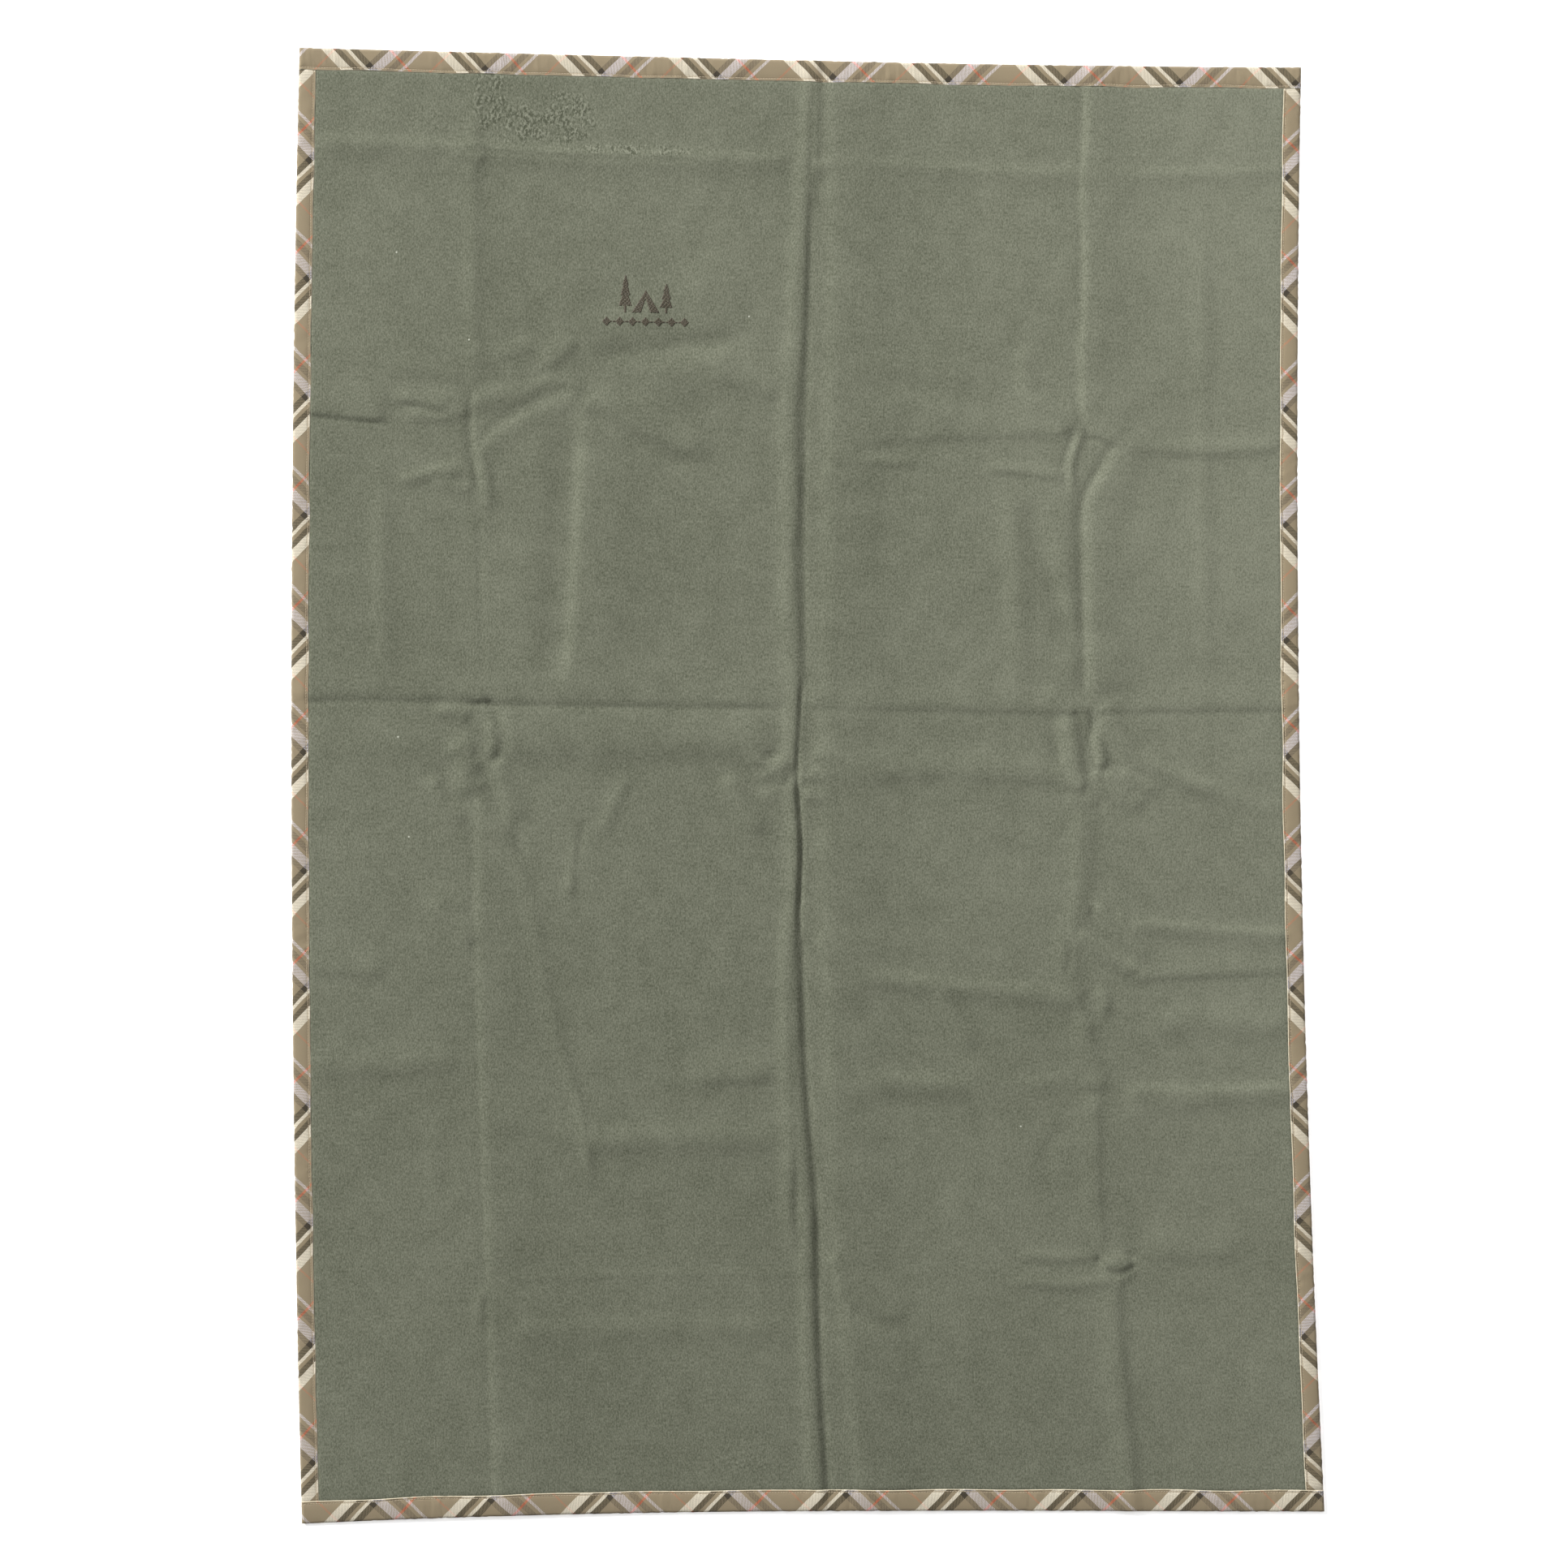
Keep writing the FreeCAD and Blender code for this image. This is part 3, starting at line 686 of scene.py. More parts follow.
@dataclass
class Tube:
    """A closed skin through rings of points: a thread, or a folded tape.

    rings holds metres, and around and along hold the skin's own map in millimetres.
    """

    rings: np.ndarray
    around: np.ndarray
    along: np.ndarray

    def build(self, name: str) -> bpy.types.Object:
        """Join the rings into one closed mesh.

        Args:
            name: Name of the piece.

        Returns:
            The new object.
        """
        stations, points = self.rings.shape[:2]
        bm, column, row = grid(points + 1, stations)
        mesh = bpy.data.meshes.new(f"{name}_skin")
        bm.to_mesh(mesh)
        bm.free()
        places = self.rings[row, column % points]
        mesh.vertices.foreach_set("co", places.astype(np.float32).ravel())
        write_map(mesh, self.around[column], self.along[row])
        bm = bmesh.new()
        bm.from_mesh(mesh)
        bpy.data.meshes.remove(mesh)
        rim = [vert for vert in bm.verts if vert.is_boundary]
        bmesh.ops.remove_doubles(bm, verts=rim, dist=SAME_PLACE)
        openings = [edge for edge in bm.edges if edge.is_boundary]
        caps = bmesh.ops.holes_fill(bm, edges=openings, sides=0)["faces"]
        bmesh.ops.triangulate(bm, faces=caps, quad_method="BEAUTY", ngon_method="EAR_CLIP")
        bmesh.ops.recalc_face_normals(bm, faces=bm.faces)
        return finish_mesh(bm, name)


def thread_tube(path: np.ndarray, radius: float, lie: Lie, sides: int = 6) -> Tube:
    """Wrap a round thread about a path on the flat blanket, then lay it down.

    Args:
        path: Points in millimetres, one row each.
        radius: The thread's radius.
        lie: How the blanket lies.
        sides: Faces round the thread.

    Returns:
        The thread's skin.
    """
    tangent = np.gradient(path, axis=0)
    tangent /= np.maximum(np.linalg.norm(tangent, axis=1, keepdims=True), TINY)
    flat = np.cross(tangent, [0.0, 0.0, 1.0])
    flat /= np.maximum(np.linalg.norm(flat, axis=1, keepdims=True), TINY)
    upright = np.cross(flat, tangent)
    turns = np.linspace(0, 2 * math.pi, sides, endpoint=False)
    ring = np.cos(turns)[None, :, None] * flat[:, None] + np.sin(turns)[None, :, None] * upright[:, None]
    points = path[:, None] + radius * ring
    laid = lie.lay(points.reshape(-1, 3)).reshape(points.shape)
    steps = np.linalg.norm(np.diff(path, axis=0), axis=1)
    return Tube(
        rings=laid,
        around=np.linspace(0, 2 * math.pi * radius, sides + 1),
        along=np.concatenate([[0.0], np.cumsum(steps)]),
    )


# ------------------------------------------------------------------ shader graphs


class Value:
    """A number socket that takes part in arithmetic."""

    def __init__(self, graph: "Graph", socket: bpy.types.NodeSocket) -> None:
        """Wrap a socket of a graph."""
        self.graph = graph
        self.socket = socket

    def __add__(self, other: Any) -> "Value":
        """This plus other."""
        return self.graph.math("ADD", self, other)

    __radd__ = __add__

    def __sub__(self, other: Any) -> "Value":
        """This less other."""
        return self.graph.math("SUBTRACT", self, other)

    def __rsub__(self, other: Any) -> "Value":
        """Other less this."""
        return self.graph.math("SUBTRACT", other, self)

    def __mul__(self, other: Any) -> "Value":
        """This times other."""
        return self.graph.math("MULTIPLY", self, other)

    __rmul__ = __mul__

    def __truediv__(self, other: Any) -> "Value":
        """This over other."""
        return self.graph.math("DIVIDE", self, other)

    def floor(self) -> "Value":
        """The whole number below this."""
        return self.graph.math("FLOOR", self)

    def fract(self) -> "Value":
        """The part after the point."""
        return self.graph.math("FRACT", self)

    def sine(self) -> "Value":
        """The sine of this, in radians."""
        return self.graph.math("SINE", self)

    def size(self) -> "Value":
        """This without its sign."""
        return self.graph.math("ABSOLUTE", self)

    def above(self, level: Any) -> "Value":
        """1 where this is above a level, and 0 elsewhere."""
        return self.graph.math("GREATER_THAN", self, level)

    def eased(self, low: float, high: float) -> "Value":
        """Ease from 0 at low to 1 at high, either way round.

        Args:
            low: Where the result is 0.
            high: Where the result is 1.

        Returns:
            A mask from 0 to 1.
        """
        sockets = {"Value": self, "From Min": low, "From Max": high}
        settings = {"interpolation_type": "SMOOTHSTEP"}
        return self.graph.value("ShaderNodeMapRange", "Result", settings, sockets)


class Graph:
    """A material's nodes, built from expressions."""

    def __init__(self, name: str) -> None:
        """Start an empty material."""
        self.material = bpy.data.materials.new(name)
        self.material.use_nodes = True
        self.nodes = self.material.node_tree.nodes
        self.links = self.material.node_tree.links
        self.nodes.clear()

    def add(self, kind: str, settings: dict[str, Any], sockets: dict[Any, Any]) -> bpy.types.Node:
        """Add a node.

        Args:
            kind: The node's type.
            settings: Its properties, set first; stops are a ramp's places and colours.
            sockets: Values or links of its inputs, by name or number.

        Returns:
            The new node.
        """
        node = self.nodes.new(kind)
        for name, setting in settings.items():
            if name == "stops":
                self.set_stops(node.color_ramp, setting)
            elif name == "steps":
                node.color_ramp.interpolation = setting
            else:
                setattr(node, name, setting)
        for key, value in sockets.items():
            socket = node.inputs[key]
            if isinstance(value, Value):
                self.links.new(value.socket, socket)
            elif isinstance(value, bpy.types.NodeSocket):
                self.links.new(value, socket)
            else:
                socket.default_value = value
        return node

    @staticmethod
    def set_stops(ramp: bpy.types.ColorRamp, stops: Sequence[tuple[float, Colour]]) -> None:
        """Give a ramp its places and colours.

        Args:
            ramp: The ramp of a new node.
            stops: The place and colour of each stop, in order.
        """
        while len(ramp.elements) < len(stops):
            ramp.elements.new(1.0)
        for element, (place, colour) in zip(ramp.elements, stops):
            element.position = place
            element.color = colour

    def value(self, kind: str, output: str, settings: dict[str, Any], sockets: dict[Any, Any]) -> Value:
        """Add a node and wrap one of its outputs."""
        return Value(self, self.add(kind, settings, sockets).outputs[output])

    def math(self, operation: str, *terms: Any) -> Value:
        """Add a Math node for an operation on terms."""
        sockets = dict(enumerate(terms))
        return self.value("ShaderNodeMath", "Value", {"operation": operation}, sockets)

    def mix(self, share: Any, first: Any, second: Any, blend: str = "MIX") -> bpy.types.NodeSocket:
        """Mix two colours.

        Args:
            share: How much of the second colour.
            first: A colour or a colour socket.
            second: A colour or a colour socket.
            blend: How they are blended.

        Returns:
            The mixed colour's socket.
        """
        settings = {"data_type": "RGBA", "blend_type": blend, "clamp_factor": True}
        node = self.add("ShaderNodeMix", settings, {0: share, 6: first, 7: second})
        return node.outputs[2]

    def cloth_map(self) -> tuple[bpy.types.NodeSocket, Value, Value]:
        """Read the cloth's own map.

        Returns:
            The map's vector, and its places across and along in millimetres.
        """
        vector = self.add("ShaderNodeUVMap", {"uv_map": WEAVE_MAP}, {}).outputs["UV"]
        split = self.add("ShaderNodeSeparateXYZ", {}, {"Vector": vector})
        return vector, Value(self, split.outputs["X"]), Value(self, split.outputs["Y"])

    def stretched(self, vector: Any, across: float, along: float, turn: float = 0.0) -> bpy.types.NodeSocket:
        """Turn and scale a map, so that a pattern read from it is drawn out."""
        sockets = {"Vector": vector, "Scale": (across, along, 1.0), "Rotation": (0.0, 0.0, turn)}
        return self.add("ShaderNodeMapping", {"vector_type": "POINT"}, sockets).outputs["Vector"]

    def noise(self, vector: Any, scale: float, detail: float = 2.0, rough: float = 0.5) -> Value:
        """Smooth noise from 0 to 1 on a flat map."""
        sockets = {"Vector": vector, "Scale": scale, "Detail": detail, "Roughness": rough}
        return self.value("ShaderNodeTexNoise", "Fac", {"noise_dimensions": "2D"}, sockets)

    def surface(self, sockets: dict[str, Any], height: Value, depth: float) -> bpy.types.Material:
        """Finish the material with a bumped surface.

        Args:
            sockets: Inputs of the surface.
            height: Its fine relief, from about 0 to 1.
            depth: How deep that relief is, in millimetres.

        Returns:
            The finished material.
        """
        bump = self.add("ShaderNodeBump", {}, {"Strength": 1.0, "Distance": depth * MM, "Height": height})
        shader = self.add("ShaderNodeBsdfPrincipled", {}, {**sockets, "Normal": bump.outputs["Normal"]})
        self.add("ShaderNodeOutputMaterial", {}, {"Surface": shader.outputs["BSDF"]})
        return self.material


def dye(red: float, green: float, blue: float) -> Colour:
    """Turn a screen colour into the linear colour that shaders take.

    Args:
        red: Red, from 0 to 255.
        green: Green, from 0 to 255.
        blue: Blue, from 0 to 255.

    Returns:
        The linear colour, opaque.
    """

    def linear(level: float) -> float:
        """Undo the screen's gamma for one channel, as the sRGB standard defines it."""
        share = level / 255
        return share / 12.92 if share <= 0.04045 else ((share + 0.055) / 1.055) ** 2.4

    return (linear(red), linear(green), linear(blue), 1.0)


# ------------------------------------------------------------------ finishes


@dataclass(frozen=True)
class FleeceFinish:
    """Brushed sage fleece with an uneven nap, and painted light: a broad gradient that is lighter towards
    the right and the top.
    """

    deep: Colour = dye(74, 77, 62)
    pale: Colour = dye(122, 124, 108)
    lint: Colour = dye(205, 207, 192)
    ruffled_spots: tuple[tuple[float, float, float, float], ...] = (
        (-302.0, 662.0, 15.0, 34.0),
        (-262.0, 638.0, 50.0, 20.0),
        (-226.0, 644.0, 28.0, 26.0),
        (-160.0, 614.0, 60.0, 5.0),
    )
    faint_spots: tuple[tuple[float, float, float, float], ...] = (
        (-67.0, -651.0, 28.0, 16.0),
        (-355.0, 640.0, 30.0, 14.0),
    )
    specks: Points = ((-391, 511), (-319, 428), (-46, 455), (-386, 46), (-376, -50), (212, -330))
    # Slopes of the painted light, a broad gradient lighter towards the right and the top, in tone per
    # millimetre.
    side_painted_light: float = 0.00018
    end_painted_light: float = 0.00003
    corner_painted_light: float = 0.0000001
    bow_painted_light: float = 0.00000045
    drift_size: float = 170.0
    mottle_size: float = 22.0
    tuft_size: float = 4.2
    fibre_size: float = 1.5
    clump_size: float = 2.7
    gap_size: float = 13.0
    brushing: float = 0.62
    middle_tone: float = 0.475
    nap_depth: float = 0.4

    def patches(self, graph: Graph, across: Value, along: Value, spots: Sequence[Sequence[float]]) -> Value:
        """Mask of the patches where the nap is ruffled.

        Args:
            graph: The material's graph.
            across: Places across the cloth.
            along: Places along the cloth.
            spots: Middle and reach of each patch.

        Returns:
            A mask from 0 to 1.
        """
        mask = None
        for middle_x, middle_y, reach_x, reach_y in spots:
            far_x, far_y = (across - middle_x) / reach_x, (along - middle_y) / reach_y
            spot = (far_x * far_x + far_y * far_y).eased(1.6, 0.35)
            mask = spot if mask is None else graph.math("MAXIMUM", mask, spot)
        return mask

    def ruffling(self, graph: Graph, vector: Any, across: Value, along: Value) -> Value:
        """Mask of the ruffled nap, broken into islands.

        Args:
            graph: The material's graph.
            vector: The cloth's own map.
            across: Places across the cloth.
            along: Places along the cloth.

        Returns:
            A mask from 0 to 1.
        """
        islands = graph.noise(vector, 1 / self.gap_size, 3.0, 0.6).eased(0.38, 0.62)
        strong = self.patches(graph, across, along, self.ruffled_spots) * (islands * 0.75 + 0.25)
        faint = self.patches(graph, across, along, self.faint_spots) * islands * 0.3
        return graph.math("MAXIMUM", strong, faint)

    def make(self) -> bpy.types.Material:
        """Build the material.

        Returns:
            The finished material.
        """
        graph = Graph("sage_fleece")
        vector, across, along = graph.cloth_map()
        brushed = graph.stretched(vector, 1.0, self.brushing)
        drifts = graph.noise(vector, 1 / self.drift_size, 3.0)
        mottle = graph.noise(vector, 1 / self.mottle_size, 3.0, 0.6)
        tufts = graph.noise(brushed, 1 / self.tuft_size, 3.0, 0.7)
        fibres = graph.noise(brushed, 1 / self.fibre_size, 2.0, 0.75)
        matted = graph.stretched(vector, 1.0, 0.7, 0.5)
        clumps = graph.noise(matted, 1 / self.clump_size, 4.0, 0.62).eased(0.34, 0.7)
        ruffled = self.ruffling(graph, vector, across, along)
        # Painted light: a smooth gradient across the cloth, lighter towards the right and the top, stands in
        # for how the lamps fall on it.
        painted_light_across = across * self.bow_painted_light + along * self.corner_painted_light + self.side_painted_light
        painted_light_gradient = across * painted_light_across + along * self.end_painted_light
        tone = (drifts - 0.5) * 0.3 + (mottle - 0.5) * 0.35 + (tufts - 0.5) * 0.5 + painted_light_gradient
        tone = tone + (fibres - 0.5) * 1.7 + (clumps - 0.42) * ruffled * 1.6
        colour = graph.mix(tone + self.middle_tone, self.deep, self.pale)
        for speck_x, speck_y in self.specks:
            far_x, far_y = across - speck_x, along - speck_y
            speck = (far_x * far_x + far_y * far_y).eased(1.0, 0.25)
            colour = graph.mix(speck * 0.7, colour, self.lint)
        sockets = {
            "Base Color": colour,
            "Roughness": 0.95,
            "Specular IOR Level": 0.15,
            "Sheen Weight": 0.2,
            "Sheen Roughness": 0.6,
            "Sheen Tint": dye(222, 226, 206),
        }
        return graph.surface(sockets, tufts * 0.4 + fibres * 0.45 + clumps * ruffled * 0.75, self.nap_depth)


@dataclass(frozen=True)
class PlaidFinish:
    """Twill cloth in a taupe, ivory and grey plaid, cut on the slant, paler along its inner fold with wear
    and a painted highlight.
    """

    repeat: float = 80.0
    yarn: float = 0.5
    fold_place: float = 6.95
    ground: Colour = dye(145, 131, 105)
    ivory: Colour = dye(232, 224, 204)
    olive: Colour = dye(60, 54, 37)
    lilac: Colour = dye(236, 230, 238)
    brown: Colour = dye(44, 37, 38)
    rust: Colour = dye(196, 112, 80)
    dust: Colour = dye(124, 112, 96)
    # Paler colour for the inner fold: wear, and a painted highlight where the rolled edge catches the light.
    wear_and_highlight: Colour = dye(226, 216, 190)
    wobble: float = 1.6
    wobble_size: float = 30.0
    slub_size: float = 1.3
    fade_size: float = 45.0
    yarn_depth: float = 0.14

    @property
    def warp_bands(self) -> tuple[tuple[float, Colour], ...]:
        """Width in millimetres and colour of each stripe in the warp, one repeat in all."""
        return (
            (8.0, self.ground),
            (8.5, self.ivory),
            (5.0, self.olive),
            (3.5, self.ground),
            (3.0, self.ivory),
            (6.0, self.olive),
            (21.0, self.ground),
            (2.0, self.rust),
            (23.0, self.ground),
        )

    @property
    def weft_bands(self) -> tuple[tuple[float, Colour], ...]:
        """Width in millimetres and colour of each stripe in the weft, one repeat in all."""
        return (
            (11.0, self.ground),
            (5.0, self.brown),
            (9.0, self.lilac),
            (3.0, self.ground),
            (5.5, self.brown),
            (3.5, self.ground),
            (3.0, self.lilac),
            (18.0, self.ground),
            (2.0, self.rust),
            (20.0, self.ground),
        )

    def stops(self, bands: Iterable[tuple[float, Colour]]) -> list[tuple[float, Colour]]:
        """Turn bands of yarn into a ramp's stops.

        Args:
            bands: Width in millimetres and colour of each band, one repeat in all.

        Returns:
            The place where each band begins, and its colour.
        """
        made, place = [], 0.0
        for width, colour in bands:
            made.append((place / self.repeat, colour))
            place += width
        return made

    def stripes(self, graph: Graph, place: Value, bands: Sequence[tuple[float, Colour]]) -> Any:
        """Colour the yarns by their place in the repeat.

        Args:
            graph: The material's graph.
            place: Places across the yarns.
            bands: Width in millimetres and colour of each band.

        Returns:
            The colour's socket.
        """
        settings = {"steps": "CONSTANT", "stops": self.stops(bands)}
        share = (place / self.repeat).fract()
        return graph.add("ShaderNodeValToRGB", settings, {"Fac": share}).outputs["Color"]

    @staticmethod
    def rounded(yarn: Value) -> Value:
        """Height over a yarn: 1 along its middle and 0 between yarns."""
        return (yarn.fract() - 0.5).size() * -2.0 + 1.0

    def make(self, name: str) -> bpy.types.Material:
        """Build the material.

        Args:
            name: The material's name.

        Returns:
            The finished material.
        """
        graph = Graph(name)
        vector, across, along = graph.cloth_map()
        slant = 1 / math.sqrt(2)
        stray = (graph.noise(vector, 1 / self.wobble_size, 2.0) - 0.5) * self.wobble
        warp = (along + across) * slant + stray
        weft = (along - across) * slant + stray
        warp_yarn, weft_yarn = warp / self.yarn, weft / self.yarn
        over = ((warp_yarn.floor() + weft_yarn.floor()) / 3).fract().above(0.5)
        warp_colour = self.stripes(graph, warp, self.warp_bands)
        weft_colour = self.stripes(graph, weft, self.weft_bands)
        slub = graph.noise(vector, 1 / self.slub_size, 2.0, 0.6)
        fade = graph.noise(vector, 1 / self.fade_size, 2.0)
        shade = (slub - 0.5) * 0.4 + (fade - 0.5) * 0.6 + 0.3
        # The tape's inner fold is painted paler: partly wear, partly a painted highlight where the rolled
        # edge catches the light.
        fold_wear_and_highlight = (across - self.fold_place).size().eased(0.9, 0.3)
        colour = graph.mix(over, warp_colour, weft_colour)
        colour = graph.mix(shade * 0.3, colour, self.dust)
        colour = graph.mix(fold_wear_and_highlight * 0.75, colour, self.wear_and_highlight)
        height = self.rounded(warp_yarn) * (1 - over) + self.rounded(weft_yarn) * over + slub * 0.2
        sockets = {
            "Base Color": colour,
            "Roughness": 0.82,
            "Specular IOR Level": 0.25,
            "Sheen Weight": 0.12,
            "Sheen Roughness": 0.5,
        }
        return graph.surface(sockets, height, self.yarn_depth)


@dataclass(frozen=True)
class ThreadFinish:
    """Plied thread with a soft lustre, and painted highlight and shade along the twist of its plies."""

    name: str
    dark: Colour
    light: Colour
    ply: float = 0.7
    lustre: float = 0.5
    ply_depth: float = 0.06

    def make(self) -> bpy.types.Material:
        """Build the material.

        Returns:
            The finished material.
        """
        graph = Graph(self.name)
        vector, around, along = graph.cloth_map()
        twist = ((along + around * 1.5) * (2 * math.pi / self.ply)).sine() * 0.5 + 0.5
        uneven = graph.noise(vector, 1 / 9, 2.0)
        # Painted highlight and shade: lighter on each ply's crest and darker in the grooves between plies,
        # following the twist, with random unevenness.
        tone = twist * 0.55 + uneven * 0.5
        sockets = {
            "Base Color": graph.mix(tone, self.dark, self.light),
            "Roughness": 0.62 - twist * 0.12,
            "Specular IOR Level": self.lustre,
            "Sheen Weight": 0.15,
        }
        return graph.surface(sockets, twist, self.ply_depth)


@dataclass(frozen=True)
class BackingFinish:
    """Thin non-woven backing with pressed dots."""

    dark: Colour = dye(176, 176, 170)
    light: Colour = dye(214, 214, 208)
    dot_pitch: float = 2.2
    dot_depth: float = 0.08

    def make(self) -> bpy.types.Material:
        """Build the material.

        Returns:
            The finished material.
        """
        graph = Graph("emblem_backing")
        vector, across, along = graph.cloth_map()
        turn = 2 * math.pi / self.dot_pitch
        dots = ((across * turn).sine() * (along * turn).sine()).eased(0.35, 0.75)
        fibres = graph.noise(graph.stretched(vector, 0.4, 1.0, 0.6), 1 / 0.8, 3.0, 0.7)
        sockets = {
            "Base Color": graph.mix(fibres * 0.8 + dots * 0.2, self.dark, self.light),
            "Roughness": 0.85 - dots * 0.25,
        }
        return graph.surface(sockets, fibres * 0.6 - dots * 0.8, self.dot_depth)


@dataclass(frozen=True)
class FloorFinish:
    """Plain pale floor that glows a little, so that shadows on it stay faint."""

    tone: Colour = dye(250, 250, 250)
    glow: float = 0.6
    grain_scale: float = 60.0
    grain_depth: float = 0.02

    def make(self) -> bpy.types.Material:
        """Build the material.

        Returns:
            The finished material.
        """
        graph = Graph("floor")
        grain = graph.value("ShaderNodeTexNoise", "Fac", {}, {"Scale": self.grain_scale, "Detail": 2.0})
        sockets = {
            "Base Color": self.tone,
            "Roughness": 0.8,
            "Emission Color": self.tone,
            "Emission Strength": self.glow,
        }
        return graph.surface(sockets, grain, self.grain_depth)


# ------------------------------------------------------------------ the blanket's pieces


def stand_for(
    piece: bpy.types.Object, material: bpy.types.Material, nodes: Sequence[str]
) -> None:
    """Dress a piece and let it stand for its CAD nodes.

    Args:
        piece: The finished piece.
        material: Its finish.
        nodes: The CAD nodes that it stands for.
    """
    piece.data.materials.append(material)
    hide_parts(*nodes)
    LOG.info("%s: %d faces, for %s", piece.name, len(piece.data.polygons), ", ".join(nodes))


@dataclass
class Fold:
    """The centre fold, where the right half turns over onto the left half."""

    start: float = 0.0
    end: float = 24.0

    def __post_init__(self) -> None:
        """Read the fold's joint from the frame."""
        self.joint = frame["joints"][0]

    def carry(self, piece: bpy.types.Object, side: Side | None = None) -> None:
        """Make a piece move with its half, or bake the place of a piece that crosses the fold into its mesh.

        Args:
            piece: The finished piece.
            side: The edge that it is on, or None for one that crosses the fold.
        """
        parent, child = self.joint["parent"], self.joint["child"]
        if side in (Side.LEFT, Side.RIGHT):
            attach(piece, parent if side is Side.LEFT else child)
            return
        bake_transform(piece)


@dataclass
class Fleece:
    """The fleece panel, with its margin pressed inside the bindings."""

    cut: Cut
    lie: Lie
    fold: Fold
    tucked_in: float = 1.6
    margin_top: float = 2.5
    margin_bottom: float = 0.95
    face: tuple[int, int] = (232, 320)
    back: tuple[int, int] = (124, 168)
    column_spots: Points = ((2, 14), (30, 26), (280, 20), (-306, 14), (-213, 14), (300, 20))
    row_spots: Points = ((608, 9), (372, 22), (345, 14), (325, 16), (302, 12), (77, 9), (14, 16),
                         (-137, 10), (-188, 12), (-290, 14), (-350, 12), (-462, 10), (-484, 10))
    spot_need: float = 1.6
    edge_need: float = 3.0
    edge_reach: float = 3.5
    edge_slope: tuple[float, float] = (-1.8, 1.4)
    steps: int = 8001

    def stations(self, half: float, tape: float, count: int, spots: Points) -> np.ndarray:
        """Place grid lines closer together near creases and edges.

        Args:
            half: Half of the panel's extent.
            tape: Width of the binding at each end.
            count: Number of lines.
            spots: Middle and reach of each stretch that needs closer lines.

        Returns:
            The lines' places in rising order.
        """
        fine = np.linspace(-half, half, self.steps)
        need = np.ones_like(fine)
        for middle, reach in spots:
            need += self.spot_need * np.exp(-(((fine - middle) / reach) ** 2))
        for edge in (-1, 1):
            need += self.edge_need * np.exp(-(((fine - edge * (half - tape)) / self.edge_reach) ** 2))
        total = np.concatenate([[0.0], np.cumsum((need[:-1] + need[1:]) / 2)])
        return np.interp(np.linspace(0, total[-1], count), total, fine)

    def levels(self, x: np.ndarray, y: np.ndarray) -> tuple[np.ndarray, np.ndarray]:
        """Levels of the panel's two faces: full in the field, pressed inside the bindings.

        Args:
            x: Places across the cut cloth.
            y: Places along the cut cloth.

        Returns:
            The lower and the upper level.
        """
        from_side = self.cut.half_width - self.cut.side_tape - np.abs(x)
        from_end = self.cut.half_length - self.cut.end_tape - np.abs(y)
        full = smoothstep(*self.edge_slope, np.minimum(from_side, from_end))
        upper = self.margin_top + (self.cut.fleece_thick - self.margin_top) * full
        return self.margin_bottom * (1 - full), upper

    def sheet(self, bm: bmesh.types.BMesh, counts: tuple[int, int], level: float) -> None:
        """Add one face of the panel to a bmesh, flat and with graded lines.

        Args:
            bm: The bmesh that gets the grid.
            counts: Numbers of lines across and along.
            level: The grid's height, 1 for the face and 0 for the back.
        """
        half_x = self.cut.half_width - self.tucked_in
        half_y = self.cut.half_length - self.tucked_in
        across = self.stations(half_x, self.cut.side_tape - self.tucked_in, counts[0], self.column_spots)
        along = self.stations(half_y, self.cut.end_tape - self.tucked_in, counts[1], self.row_spots)
        made = bmesh.ops.create_grid(bm, x_segments=counts[0] - 1, y_segments=counts[1] - 1, size=1.0)
        for vert in made["verts"]:
            column = round((vert.co.x + 1) / 2 * (counts[0] - 1))
            row = round((vert.co.y + 1) / 2 * (counts[1] - 1))
            vert.co = (across[column], along[row], level)

    def build(self) -> bpy.types.Object:
        """Make the panel, dress it and bake its place into its mesh.

        Returns:
            The panel.
        """
        bm = bmesh.new()
        self.sheet(bm, self.face, 1.0)
        self.sheet(bm, self.back, 0.0)
        rims = [edge for edge in bm.edges if edge.is_boundary]
        bmesh.ops.bridge_loops(bm, edges=rims)
        bmesh.ops.recalc_face_normals(bm, faces=bm.faces)
        panel = finish_mesh(bm, "fleece_panel")
        x, y, face = vertex_places(panel.data).T
        lower, upper = self.levels(x, y)
        level = np.where(face > 0.5, upper, lower)
        lay_mesh(panel.data, np.stack([x, y, level], axis=1), self.lie)
        stand_for(panel, FleeceFinish().make(), ("fleece_left", "fleece_right"))
        self.fold.carry(panel)
        return panel


